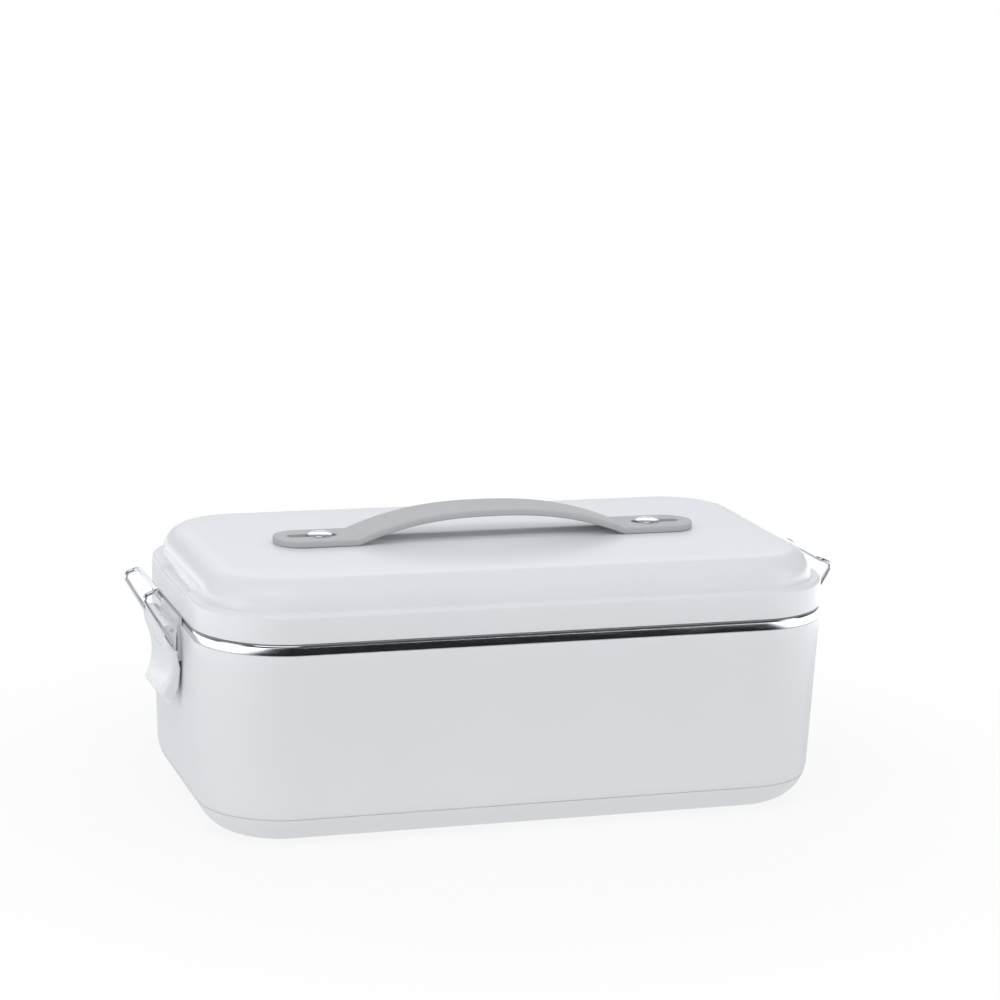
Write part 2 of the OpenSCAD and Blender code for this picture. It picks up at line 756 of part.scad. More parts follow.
module latch_bracket_right() { latch_bracket(1); }

module lever_pin(side) {
    color("silver") at_end(side) rod(hinge_out, hinge_z, -cheek_out, cheek_out, hinge_d);
}
module lever_pin_left() { lever_pin(-1); }
module lever_pin_right() { lever_pin(1); }

// The lever's side view: a straight top, a hollow for the finger, an outward lip, a slanted foot
// and a heel that curves away from the wall.
function lever_line(t) = [lever_front + lip_out * pow(t, 4) - waist_in * sin(180 * t),
    lever_waist_z + (lever_lip_z - lever_waist_z) * t];
lever_curve = [for (i = [0:12]) lever_line(i / 12)];
lever_foot = concat([[lever_front + lip_out - lip_drop / 3, lever_lip_z - lip_drop]],
    [for (a = [90:-15:0]) [heel_out + (lever_foot_out - heel_out) * (1 - cos(a)),
        heel_z - (heel_z - lever_foot_z) * sin(a)]],
    [[heel_out, heel_top_z], [lever_back, lever_back_z]]);
lean_dir = [sin(bail_lean), cos(bail_lean)];
lean_side = [cos(bail_lean), -sin(bail_lean)];

module lever_side() {
    // The wide part stops at the line that the open bail's legs rest on.
    rest = bail_wire / 2 + run_gap;
    foot_of_line = [pivot_out, pivot_z] + lean_side * rest - lean_dir * 1.5;
    steps = (lever_front - foot_of_line[0]) / lean_dir[0];
    polygon(concat([[lever_back, foot_of_line[1] - 1], foot_of_line - [1.6, 1], foot_of_line,
        foot_of_line + lean_dir * steps], lever_curve, lever_foot));
}

// The lever's front view, narrower towards the foot, taken in by cut on every side but the top.
module lever_front_view(cut) {
    top_half = lever_w / 2 - cut;
    foot_half = lever_foot_w / 2 - cut;
    translate([-half_l - 4 * lever_front, 0, 0]) rotate([90, 0, 90])
        linear_extrude(8 * lever_front)
            polygon([[-foot_half, lever_foot_z - eps], [foot_half, lever_foot_z - eps], [top_half, pivot_z],
                [top_half, hinge_z + 8], [-top_half, hinge_z + 8], [-top_half, pivot_z]]);
}

module lever_neck() {
    translate([hinge_out, hinge_z]) circle(r = knuckle_r + neck_skin);
    neck_top = hinge_z + knuckle_r + neck_skin;
    polygon([[lever_back, pivot_z - 3], [hinge_out - 1.2, hinge_z], [hinge_out, neck_top],
        [lever_front - 1, neck_top], [lever_front, neck_top - 1],
        [lever_front, pivot_z - 3]]);
}

module latch_lever(side) {
    cavity_in = lever_front - lever_wall;
    web = 0.5;
    color("white") at_end(side) difference() {
        union() {
            intersection() {
                across(lever_w / 2) lever_side();
                lever_front_view(0);
            }
            across(cheek_out) lever_neck();
        }
        intersection() {
            across(cheek_in) polygon(concat([[-lever_w, lever_w + hinge_z], [cavity_in, lever_w + hinge_z],
                [cavity_in, lever_waist_z]], [for (p = lever_curve) p - [lever_wall, 0]],
                [[cavity_in, lever_lip_z - web], [-lever_w, lever_lip_z - web]]));
            lever_front_view(lever_wall);
        }
        rod(hinge_out, hinge_z, -lever_w, lever_w, hinge_d + 2 * run_gap);
        rod(pivot_out, pivot_z, -lever_w, lever_w, bail_wire + 2 * run_gap);
    }
}
module latch_lever_left() { latch_lever(-1); }
module latch_lever_right() { latch_lever(1); }

hook_bend = 80;         // degrees between leg and hook
bend_r = 2;
bend_step = 30;
hook_turn = 180 - hook_bend - bail_lean;
hook_dir = [-sin(hook_turn), cos(hook_turn)];
pivot = [pivot_out, pivot_z];
bail_bend = pivot + lean_dir * bail_leg;
bail_tip = bail_bend + hook_dir * bail_hook;
function bail_at(p, y) = [-half_l - p[0], y, p[1]];

// Points of a bend of radius bend_r at corner p, from direction u to direction v.
function bend(p, u, v) = let (turn = acos(u * v), m = (v - (u * v) * u) / sin(turn),
        steps = round(turn / bend_step), start = p - u * bend_r * tan(turn / 2))
    [for (i = [0:steps]) let (a = turn * i / steps) start + bend_r * (u * sin(a) + m * (1 - cos(a)))];

module wire_bail(side) {
    leg_y = bail_w / 2;
    up = bail_at(lean_dir, 0) - bail_at([0, 0], 0);
    inward = bail_at(hook_dir, 0) - bail_at([0, 0], 0);
    half = concat([bail_at(pivot, leg_y)], bend(bail_at(bail_bend, leg_y), up, inward),
        bend(bail_at(bail_tip, leg_y), inward, [0, -1, 0]));
    color("silver") at_end(side) {
        wire(concat(half, [for (i = [len(half) - 1:-1:0]) [half[i][0], -half[i][1], half[i][2]]]),
            bail_wire);
        for (s = [0, 1]) mirror([0, s, 0]) rod(pivot_out, pivot_z, cheek_in + 0.2, leg_y, bail_wire);
    }
}
module wire_bail_left() { wire_bail(-1); }
module wire_bail_right() { wire_bail(1); }

outer_shell();
base_cover();
rubber_feet();
base_screws();
inner_liner();
heater_plate();
plate_screws();
heating_element();
element_clamp();
clamp_screws();
thermostat();
thermal_fuse();
fuse_clip();
inlet_socket();
inlet_pins();
live_wire();
link_wire();
neutral_wire();
latch_bracket_left();
latch_bracket_right();
lever_pin_left();
lever_pin_right();
steel_container();
clear_lid();
lid_seal();
outer_lid();
carry_handle();
handle_studs();
stud_washers();
stud_nuts();
latch_lever_left();
latch_lever_right();
wire_bail_left();
wire_bail_right();
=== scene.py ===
"""Looks of an electric lunch box: smooth surfaces over the CAD frame, materials and a studio.

Sizes are metres in the properties and millimetres in the making of the surfaces. Plan outlines
are rounded rectangles, and a profile is a list of points, each an inset from the steel rim's
upright faces and a height above the table.
"""
import math

import bmesh
import bpy
import numpy as np
from bpy.props import FloatProperty, FloatVectorProperty, PointerProperty
from mathutils import Matrix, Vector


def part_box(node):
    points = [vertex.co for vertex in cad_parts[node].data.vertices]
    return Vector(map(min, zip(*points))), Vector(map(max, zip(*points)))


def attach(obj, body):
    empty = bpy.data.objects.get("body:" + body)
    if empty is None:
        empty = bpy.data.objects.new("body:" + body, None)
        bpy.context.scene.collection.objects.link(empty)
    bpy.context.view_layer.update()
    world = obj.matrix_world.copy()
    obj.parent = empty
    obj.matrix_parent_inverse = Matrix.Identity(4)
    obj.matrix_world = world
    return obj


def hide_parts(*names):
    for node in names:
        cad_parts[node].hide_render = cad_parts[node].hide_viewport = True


bl_info = {
    "name": "Electric Lunch Box",
    "version": (1, 0, 0),
    "blender": (4, 5, 0),
    "location": "3D View > Sidebar > Lunch Box",
    "description": "Builds the looks of an electric lunch box and its studio",
    "category": "Add Mesh",
}

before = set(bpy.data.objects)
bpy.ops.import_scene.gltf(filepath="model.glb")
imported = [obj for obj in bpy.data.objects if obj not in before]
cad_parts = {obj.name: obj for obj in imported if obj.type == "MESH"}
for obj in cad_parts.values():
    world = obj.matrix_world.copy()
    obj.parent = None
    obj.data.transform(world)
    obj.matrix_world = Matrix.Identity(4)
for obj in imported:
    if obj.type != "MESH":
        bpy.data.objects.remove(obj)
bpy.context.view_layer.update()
MM = 0.001
CORNER_STEPS = 18
LONG_STEPS = 44
SHORT_STEPS = 40
ARC_STEP = 9  # degrees between points of a rounded profile
STRAIGHT = 0.0216  # radians: a corner that turns less stays as it is
MERGE = 2e-6  # metres: points closer than this become one
SLIVER = 1e-6  # metres: shorter edges are dissolved
SIDES = {"left": -1, "right": 1}

WALL = 2.2  # of the shell, the base cover and the outer lid
EDGE = 0.25  # rounding on either side of the seam
HALF_SEAM = 0.06
SEAT_GAP = 0.02  # between faces that would lie in one plane
WALL_START = 20  # height of the first row on the shell's straight wall


# ---- properties ------------------------------------------------------------------------------

def length(name, description, default):
    return FloatProperty(name=name, description=description, default=default, min=0, unit="LENGTH",
                         subtype="DISTANCE")


def tint(name, description, default):
    return FloatVectorProperty(name=name, description=description, default=default, min=0, max=1,
                               subtype="COLOR")


class LunchBoxSizes(bpy.types.PropertyGroup):
    rim_length: length("Rim Length", "Length over the steel rim", 0.240)
    rim_depth: length("Rim Depth", "Depth over the steel rim", 0.133)
    rim_corner: length("Rim Corner", "Plan corner radius of the rim", 0.033)
    shell_top: length("Shell Top", "Height of the shell's top edge", 0.0724)
    base_bottom: length("Base Bottom", "Height of the base cover's underside", 0.0008)
    wall_lean: length("Wall Lean", "How far a wall leans in by the bottom", 0.003)
    bottom_round: length("Bottom Round", "Radius of the rounded bottom edge", 0.015)
    seam: length("Seam", "Height of the seam between shell and base cover", 0.0115)
    rim_top: length("Rim Top", "Height of the steel rim", 0.0764)
    rim_flat: length("Rim Flat", "Width of the flat rim", 0.0046)
    sheet: length("Sheet", "Thickness of the steel", 0.0006)
    flange_top: length("Flange Top", "Height of the inner lid's flange", 0.0777)
    ring_top: length("Ring Top", "Height of the inner lid's raised ring", 0.0884)
    ledge: length("Ledge", "Height of the outer lid's ledge", 0.0868)
    lid_top: length("Lid Top", "Height of the outer lid's top", 0.0976)
    strap_length: length("Strap Length", "Length over the strap's ends", 0.164)
    strap_width: length("Strap Width", "Width of the strap", 0.021)
    strap_rise: length("Strap Rise", "Rise of the strap's arch", 0.0091)
    stud_pitch: length("Stud Pitch", "Distance between the studs", 0.129)
    bail_wire: length("Bail Wire", "Diameter of the bail's wire", 0.0015)


class LunchBoxLooks(bpy.types.PropertyGroup):
    white: tint("White", "Colour of the body and the outer lid", (0.78, 0.79, 0.81))
    clear: tint("Clear", "Tint of the inner lid", (0.76, 0.785, 0.835))
    strap: tint("Strap", "Colour of the strap", (0.47, 0.475, 0.48))
    softness: FloatProperty(name="Softness", description="Roughness of the white plastic",
                            default=0.34, min=0, max=1, subtype="FACTOR")


def sizes():
    """The sizes in millimetres."""
    chosen = bpy.context.scene.lunch_box_sizes
    return {k: getattr(chosen, k) / MM for k in LunchBoxSizes.__annotations__}


# ---- profiles and outlines -------------------------------------------------------------------

def quarter(steps, start=0):
    """Angles in radians of a quarter turn in equal steps, from a start in degrees."""
    return np.radians(start + np.linspace(0, 90, steps + 1))


def circle(steps):
    """Angles in radians round a circle."""
    return np.linspace(0, 2 * math.pi, steps, endpoint=False)


def bowl_edge(inset, low, radius, angles):
    """A quarter round between an upright wall and the floor inside it."""
    return [(inset + radius * (1 - math.sin(a)), low + radius * (1 - math.cos(a))) for a in angles]


def dome_edge(inset, top, radius, angles):
    """A quarter round between an upright wall and the top inside it."""
    return [(inset + radius * (1 - math.cos(a)), top - radius * (1 - math.sin(a))) for a in angles]


def fillet(points, radii):
    """Replaces each corner of a line, in a plane or in space, by an arc that touches both of its
    sides: from where the arc starts, sine goes along the first side and one less cosine inwards."""
    out = [points[0]]
    for before, corner, after, radius in zip(points, points[1:], points[2:], radii):
        p, a, b = (np.array(v, float) for v in (corner, before, after))
        u, v = (p - a) / np.linalg.norm(p - a), (b - p) / np.linalg.norm(b - p)
        turn = math.acos(np.clip(u @ v, -1, 1))
        if radius <= 0 or turn < STRAIGHT:
            out.append(p)
            continue
        inwards = v - (u @ v) * u
        inwards /= np.linalg.norm(inwards)
        steps = max(2, round(math.degrees(turn) / ARC_STEP))
        angle = (turn * np.arange(steps + 1) / steps)[:, None]
        start = p - u * radius * math.tan(turn / 2)
        out += list(start + radius * (u * np.sin(angle) + inwards * (1 - np.cos(angle))))
    return out + [points[-1]]


def outline(half_l, half_w, radius):
    """A rounded rectangle, anticlockwise, with the same number of points whatever its size: four
    quarter circles, each followed by a straight line to the next."""
    half_w = max(half_w, 0)
    radius = max(min(radius, half_w, half_l), 0)
    x, y = half_l - radius, half_w - radius
    centres = np.array([(x, y), (-x, y), (-x, -y), (x, -y)])
    parts = []
    for i, steps in enumerate((LONG_STEPS, SHORT_STEPS, LONG_STEPS, SHORT_STEPS)):
        angles = quarter(CORNER_STEPS, 90 * i)
        turn = radius * np.column_stack([np.cos(angles), np.sin(angles)])
        start, end = centres[i] + turn[-1], centres[(i + 1) % 4] + turn[-1]
        share = np.arange(1, steps)[:, None] / steps
        parts += [centres[i] + turn, start + (end - start) * share]
    return np.vstack(parts)


def plan_rows(plan, profile):
    """Each profile point's outline on a plan of length, depth and corner radius: its half length,
    half depth, corner radius and height."""
    return [(plan[0] / 2 - inset, plan[1] / 2 - inset, plan[2] - inset, z) for inset, z in profile]


def rim_rows(s, profile):
    return plan_rows((s["rim_length"], s["rim_depth"], s["rim_corner"]), profile)


def toward_middle(last, steps=6):
    """Rows from the given one in to the line along the middle, level."""
    hl, hw, r, z = last
    return [(hl - hw * t, hw * (1 - t), r - hw * t, z) for t in np.linspace(0, 1, steps + 1)[1:]]


def filled(rows):
    """The rows with a level face from the first and from the last to the line along the middle."""
    return toward_middle(rows[0])[::-1] + rows + toward_middle(rows[-1])


def disc(x, y, radius, steps=40):
    return np.column_stack([x + radius * np.cos(circle(steps)), y + radius * np.sin(circle(steps))])


def rectangle(x0, y0, x1, y1):
    return [(x0, y0), (x1, y0), (x1, y1), (x0, y1)]


# ---- surfaces --------------------------------------------------------------------------------

def shade(piece, sharp):
    mesh = piece.data
    mesh.polygons.foreach_set("use_smooth", [True] * len(mesh.polygons))
    mesh.set_sharp_from_angle(angle=math.radians(sharp))
    mesh.update()


def mesh_piece(name, verts, faces, sharp=40):
    """A piece from points in millimetres, with doubles merged and normals turned outwards."""
    mesh = bpy.data.meshes.new(name)
    mesh.from_pydata((np.asarray(verts, float) * MM).tolist(), [], faces)
    bm = bmesh.new()
    bm.from_mesh(mesh)
    bmesh.ops.remove_doubles(bm, verts=bm.verts, dist=MERGE)
    bmesh.ops.dissolve_degenerate(bm, edges=bm.edges, dist=SLIVER)
    bmesh.ops.recalc_face_normals(bm, faces=bm.faces)
    bm.to_mesh(mesh)
    bm.free()
    piece = bpy.data.objects.new(name, mesh)
    bpy.context.scene.collection.objects.link(piece)
    shade(piece, sharp)
    return piece


def quads(rows, columns, close_rows=False, close_columns=True):
    """The faces of a grid of points: each joins neighbours of two rows."""
    i, j = np.meshgrid(np.arange(rows if close_rows else rows - 1),
                       np.arange(columns if close_columns else columns - 1), indexing="ij")
    below, beside = (i + 1) % rows * columns, (j + 1) % columns
    i = i * columns
    return np.stack([i + j, i + beside, below + beside, below + j], -1).reshape(-1, 4).tolist()


def grid_of(*coordinates):
    """One array of points from arrays of X, Y and Z that broadcast to the same grid."""
    return np.stack(np.broadcast_arrays(*coordinates), -1)


def loft(name, rows, closed=False, change=None, sharp=40):
    """The surface through the outlines of the rows. A function change may move its points first."""
    plans = np.array([outline(*row[:3]) for row in rows])
    grid = grid_of(plans[..., 0], plans[..., 1], np.array([row[3:] for row in rows], float))
    if change:
        change(grid)
    return mesh_piece(name, grid.reshape(-1, 3), quads(*grid.shape[:2], close_rows=closed), sharp)


def stacked(name, rings, sharp=40):
    """A closed piece through rings of as many points each, with a flat face at both ends."""
    rings = np.array(rings, float)
    m, n = rings.shape[:2]
    ends = [list(range(n))[::-1], list(range((m - 1) * n, m * n))]
    return mesh_piece(name, rings.reshape(-1, 3), quads(m, n) + ends, sharp)


def prism(xy, low, high, axis=2):
    """A cutter: an outline carried up Z or, where it is given in X and Z and axis is 1, along Y."""
    xy = np.array(xy, float)
    return stacked("cut", [np.insert(xy, axis, level, axis=1) for level in (low, high)])


def cut(piece, cutters, sharp):
    """Takes the cutters' volume out of the piece and removes the cutters."""
    for cutter in cutters:
        modifier = piece.modifiers.new("cut", "BOOLEAN")
        modifier.operation, modifier.object, modifier.solver = "DIFFERENCE", cutter, "EXACT"
    bpy.context.view_layer.update()
    depsgraph = bpy.context.evaluated_depsgraph_get()
    result = bpy.data.meshes.new_from_object(piece.evaluated_get(depsgraph))
    piece.modifiers.clear()
    piece.data = result
    for cutter in cutters:
        bpy.data.objects.remove(cutter)
    shade(piece, sharp)
    return piece


def tube(name, path, diameter, sides=20):
    """A round wire along a line of points: rings square to the line, carried along without twist."""
    path = np.array(path, float)
    steps = np.diff(path, axis=0)
    tangents = np.vstack([steps[:1], steps[:-1] + steps[1:], steps[-1:]])
    tangents /= np.linalg.norm(tangents, axis=1)[:, None]
    aslant = [0.31, 0.52, 0.79]  # any direction that the wire doesn't start in
    across = np.cross(tangents[0], aslant)
    c, s = np.cos(circle(sides)), np.sin(circle(sides))
    rings = []
    for point, along in zip(path, tangents):
        across = across - (across @ along) * along
        across /= np.linalg.norm(across)
        turned = np.outer(c, across) + np.outer(s, np.cross(along, across))
        rings.append(point + diameter / 2 * turned)
    return stacked(name, rings)


def finish_piece(piece, body, cad_node, finish):
    """Gives a piece its material, and says what it rides on and which CAD node it replaces."""
    piece.data.materials.clear()
    piece.data.materials.append(finishes()[finish])
    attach(piece, body)
    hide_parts(cad_node)


# ---- shader nodes ----------------------------------------------------------------------------

COLOUR, FLOAT, VECTOR = "NodeSocketColor", "NodeSocketFloat", "NodeSocketVector"
MIX_A, MIX_B, MIX_OUT = 6, 7, 2  # the colour sockets of a Mix node
WHITE = (1, 1, 1, 1)
NOISE_SPAN = (0.3, 0.7)  # where most values of a noise texture lie


def node(tree, kind, inputs, **settings):
    """A node's outputs. Each input, by name or number, takes a value or another node's output."""
    made = tree.nodes.new("ShaderNode" + kind)
    for key, value in settings.items():
        setattr(made, key, value)
    for socket, value in inputs.items():
        if isinstance(value, bpy.types.NodeSocket):
            tree.links.new(value, made.inputs[socket])
        else:
            made.inputs[socket].default_value = value
    return made.outputs


def object_place(tree):
    return node(tree, "TexCoord", {})["Object"]


def map_range(tree, value, numbers, kind="LINEAR"):
    """Maps a value from the first two numbers to the last two."""
    inputs = {"Value": value, **{i + 1: number for i, number in enumerate(numbers)}}
    return node(tree, "MapRange", inputs, interpolation_type=kind)[0]


def either(tree, a, b):
    """The greater of two values."""
    return node(tree, "Math", {0: a, 1: b}, operation="MAXIMUM")[0]


def mix_shaders(tree, share, first, second):
    """The first shader, and the second one where share is 1."""
    return node(tree, "MixShader", {0: share, 1: first, 2: second})[0]


def emission(tree, colour, strength):
    return node(tree, "Emission", {"Color": colour, "Strength": strength})[0]


def group(name, inputs, outputs):
    """A new shader node group with its sockets; returns it with what comes in."""
    tree = bpy.data.node_groups.new(name, "ShaderNodeTree")
    for label, kind, default in inputs:
        tree.interface.new_socket(name=label, in_out="INPUT", socket_type=kind).default_value = default
    for label, kind in outputs:
        tree.interface.new_socket(name=label, in_out="OUTPUT", socket_type=kind)
    return tree, tree.nodes.new("NodeGroupInput").outputs


def put_out(tree, results):
    """Links what a group puts out, and returns the group."""
    out = tree.nodes.new("NodeGroupOutput")
    for label, result in results.items():
        tree.links.new(result, out.inputs[label])
    return tree


def drift_group():
    """Slow drift between two nearby colours, and a fine speckle of roughness."""
    tree, given = group(
        "Drift",
        [("Colour A", COLOUR, (0.8, 0.8, 0.8, 1)), ("Colour B", COLOUR, (0.7, 0.7, 0.7, 1)),
         ("Scale", FLOAT, 30.0), ("Rough Low", FLOAT, 0.3), ("Rough High", FLOAT, 0.4)],
        [("Colour", COLOUR), ("Roughness", FLOAT)])
    place = object_place(tree)
    slow = node(tree, "TexNoise", {"Vector": place, "Scale": given["Scale"], "Detail": 3.0})["Fac"]
    fine = node(tree, "TexNoise", {"Vector": place, "Scale": 420.0, "Detail": 4.0})["Fac"]
    colours = {0: slow, MIX_A: given["Colour A"], MIX_B: given["Colour B"]}
    colour = node(tree, "Mix", colours, data_type="RGBA")[MIX_OUT]
    rough = map_range(tree, fine, (*NOISE_SPAN, given["Rough Low"], given["Rough High"]))
    return put_out(tree, {"Colour": colour, "Roughness": rough})


def grain_group():
    """The normal of a moulded surface: a very fine pebble."""
    tree, given = group("Grain", [("Scale", FLOAT, 1600.0), ("Strength", FLOAT, 0.06),
                                  ("Depth", FLOAT, 0.00005)], [("Normal", VECTOR)])
    inputs = {"Vector": object_place(tree), "Scale": given["Scale"], "Detail": 2.0}
    fine = node(tree, "TexNoise", inputs)["Fac"]
    inputs = {"Height": fine, "Strength": given["Strength"], "Distance": given["Depth"]}
    return put_out(tree, {"Normal": node(tree, "Bump", inputs)["Normal"]})


def brushed_group():
    """Drawn steel: streaks that are long across one direction and short across the others."""
    tree, given = group("Brushed", [("Stretch", VECTOR, (1.0, 1.0, 1.0)), ("Strength", FLOAT, 0.1)],
                        [("Roughness", FLOAT), ("Normal", VECTOR)])
    stretched = {0: object_place(tree), 1: given["Stretch"]}
    place = node(tree, "VectorMath", stretched, operation="MULTIPLY")[0]
    streak = node(tree, "TexNoise", {"Vector": place, "Scale": 1.0, "Detail": 3.0})["Fac"]
    rough = map_range(tree, streak, (*NOISE_SPAN, 0.09, 0.18))
    bump = node(tree, "Bump", {"Height": streak, "Strength": given["Strength"], "Distance": 0.00003})
    return put_out(tree, {"Roughness": rough, "Normal": bump["Normal"]})


GROUPS = {"Drift": drift_group, "Grain": grain_group, "Brushed": brushed_group}


def place_group(tree, name, values, links):
    """Puts a node group in a material, builds it the first time, and links it to the shader."""
    made = tree.nodes.new("ShaderNodeGroup")
    made.node_tree = bpy.data.node_groups.get(name) or GROUPS[name]()
    for label, value in values.items():
        made.inputs[label].default_value = value
    for label, socket in links.items():
        tree.links.new(made.outputs[label], tree.nodes["Principled BSDF"].inputs[socket])


# ---- materials -------------------------------------------------------------------------------

def material(name, colour, second=None, scale=30.0, rough=(0.3, 0.4), grain=0.06,
             grain_scale=1600.0, **sockets):
    """A Principled material on the drift and grain groups, with constants on its own sockets."""
    made = bpy.data.materials.new(name)
    made.use_nodes = True
    tree = made.node_tree
    second = second or [c * 0.96 for c in colour]
    place_group(tree, "Drift", {"Colour A": (*colour, 1), "Colour B": (*second, 1), "Scale": scale,
                                "Rough Low": rough[0], "Rough High": rough[1]},
                {"Colour": "Base Color", "Roughness": "Roughness"})
    if grain:
        place_group(tree, "Grain", {"Strength": grain, "Scale": grain_scale}, {"Normal": "Normal"})
    for key, value in sockets.items():
        tree.nodes["Principled BSDF"].inputs[key.replace("_", " ")].default_value = value
    return made


def steel(name, colour, stretch):
    """Stainless steel with fine streaks."""
    made = material(name, colour, scale=60.0, grain=0, Metallic=1.0)
    place_group(made.node_tree, "Brushed", {"Stretch": stretch, "Strength": 0.12},
                {"Roughness": "Roughness", "Normal": "Normal"})


def finishes():
    """All materials by name, made once."""
    if "white plastic" in bpy.data.materials:
        return bpy.data.materials
    looks = bpy.context.scene.lunch_box_looks
    white, soft = tuple(looks.white), looks.softness
    moulded = {"IOR": 1.49, "Subsurface_Weight": 0.12, "Subsurface_Scale": 0.002,
               "Subsurface_Radius": (1.0, 0.9, 0.8)}
    material("white plastic", white, rough=(soft - 0.04, soft + 0.05), **moulded)
    material("lid plastic", white, rough=(soft - 0.06, soft + 0.02), **moulded)
    material("lever plastic", tuple(c * 1.03 for c in white), rough=(soft - 0.08, soft), IOR=1.49)
    material("liner plastic", (0.62, 0.63, 0.64), rough=(0.4, 0.5))
    material("strap plastic", tuple(looks.strap), rough=(0.42, 0.52), grain=0.15, grain_scale=900.0)
    material("silicone", (0.84, 0.86, 0.90), rough=(0.10, 0.18), grain=0.04,
             Transmission_Weight=0.94, IOR=1.41)
    material("clear plastic", tuple(looks.clear), scale=14.0, rough=(0.03, 0.08), grain=0.02,
             Transmission_Weight=1.0, IOR=1.46)
    material("chrome", (0.80, 0.81, 0.83), rough=(0.06, 0.12), grain=0.02, Metallic=1.0)
    material("screw steel", (0.60, 0.60, 0.61), rough=(0.25, 0.35), Metallic=1.0)
    material("aluminium", (0.72, 0.73, 0.74), rough=(0.3, 0.42), Metallic=1.0)
    material("black plastic", (0.02, 0.02, 0.022), rough=(0.3, 0.4))
    material("foot rubber", (0.10, 0.10, 0.105), rough=(0.6, 0.75), grain=0.2, grain_scale=1100.0)
    material("mica board", (0.36, 0.22, 0.12), (0.46, 0.31, 0.17), 90.0, rough=(0.45, 0.6))
    material("brass", (0.80, 0.62, 0.30), rough=(0.15, 0.25), Metallic=1.0)
    material("sleeve", (0.78, 0.74, 0.62), rough=(0.7, 0.85), grain=0.3)
    for name, colour in (("brown wire", (0.16, 0.07, 0.035)), ("red wire", (0.45, 0.03, 0.025)),
                         ("blue wire", (0.03, 0.10, 0.42))):
        material(name, colour, rough=(0.35, 0.45))
    steel("drawn steel", (0.58, 0.585, 0.60), (60.0, 60.0, 900.0))
    steel("pressed steel", (0.60, 0.60, 0.61), (500.0, 40.0, 500.0))
    return bpy.data.materials


# ---- body ------------------------------------------------------------------------------------

def body_profile(s, z, radius, wall=0.0):
    """Inset and height of the body's face: its lean plus a circle at the rounded bottom edge."""
    lean = s["wall_lean"] * (s["shell_top"] - z) / (s["shell_top"] - s["base_bottom"])
    under = np.clip(s["base_bottom"] + s["bottom_round"] - z, 0, radius)
    return list(zip(lean + wall + radius - np.sqrt(radius ** 2 - under ** 2), z))


def inlet_cutter():
    """The inlet's opening: a little wider and higher than its socket, and through the rear wall."""
    low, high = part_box("inlet_socket")
    gap, through = 0.25, 20
    x0, x1, z0, z1 = (v / MM for v in (low.x, high.x, low.z, high.z))
    plan = rectangle(x0 - gap, low.y / MM, x1 + gap, high.y / MM + through)
    return prism(plan, z0 - gap, z1 + gap)


def make_shell(s):
    """Outer shell: the wall from the seam to the top edge, both faces, joined by rounded edges."""
    seam, top, rnd, lip = s["seam"] + HALF_SEAM, s["shell_top"], s["bottom_round"], 0.5
    z = np.concatenate([np.linspace(seam + EDGE, s["base_bottom"] + rnd, 8),
                        np.linspace(WALL_START, top - lip, 12)])
    outer = body_profile(s, z, rnd)
    inner = body_profile(s, z[::-1], rnd - WALL, WALL)
    profile = [(outer[0][0] + EDGE, seam)] + outer + dome_edge(0, top, lip, quarter(3)[1:])
    profile += [(WALL - 0.1, top)] + inner + [(inner[-1][0], seam)]
    return cut(loft("body_shell", rim_rows(s, profile), closed=True), [inlet_cutter()], 50)


def make_base(s):
    """Base cover: the rounded bottom, hollow above its floor, with seats for feet and screws."""
    rnd, inner_rnd = s["bottom_round"], s["bottom_round"] - WALL
    seam, low = s["seam"] - HALF_SEAM, s["base_bottom"]
    up = np.linspace(0, math.acos(1 - (seam - EDGE - low) / rnd), 14)
    down = np.linspace(math.acos(1 - (seam - low - WALL) / inner_rnd), 0, 12)
    outer = body_profile(s, low + rnd * (1 - np.cos(up)), rnd)
    inner = body_profile(s, low + WALL + inner_rnd * (1 - np.cos(down)), inner_rnd, WALL)
    profile = outer + [(outer[-1][0] + EDGE, seam)] + inner
    foot_r, foot_gap, foot_deep = 6, 0.15, 1
    head_r, head_gap, head_top = 2.8, 0.3, 7.2
    seats = ((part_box("rubber_feet")[1], foot_r, foot_gap, low + foot_deep),
             (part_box("base_screws")[1], head_r, head_gap, head_top))
    cutters = [inlet_cutter()]
    for sx in (-1, 1):
        for sy in (-1, 1):
            for corner, radius, gap, top in seats:
                x, y = sx * (corner.x / MM - radius), sy * (corner.y / MM - radius)
                cutters.append(prism(disc(x, y, radius + gap), 0, top))
    return cut(loft("base_cover_skin", filled(rim_rows(s, profile))), cutters, 50)


# ---- container and inner lid -----------------------------------------------------------------

def make_container(s):
    """Steel container: a drawn tub, from the middle of its underside up its wall, over a flat rim
    that turns down into a band, and back down inside. The band stops short at each latch."""
    t, flat, top, band = s["sheet"], s["rim_flat"], s["rim_top"], s["shell_top"] + 0.05
    neck_deep, shoulder_deep = 5.8, 6
    under, neck = top - t, top - t - neck_deep
    shoulder = neck - shoulder_deep
    foot, low, rnd, high = 14.0, 19.0, 12.0, 9.5
    outside = bowl_edge(foot, low, rnd, quarter(12))
    rim = fillet([(foot, low + rnd), (high, shoulder), (flat - t, neck), (flat - t, under),
                  (t, under), (t, band), (0, band), (0, top), (flat, top), (flat, neck),
                  (high + t, shoulder), (foot + t, low + rnd)],
                 [3.4, 2.4, 0.3, 0.6, 0.05, 0.05, 1.3, 0.5, 3.0, 2.8])
    inside = bowl_edge(foot + t, low + t, rnd - t, quarter(12)[::-1])
    rows = filled(rim_rows(s, outside[:-1] + rim + inside[1:]))
    end, half, reach, below = s["rim_length"] / 2, 36.0, 1.3, 66
    gaps = [prism(rectangle(side * end - reach, -half, side * end + reach, half), below, under)
            for side in SIDES.values()]
    return cut(loft("container_skin", rows), gaps, 48)


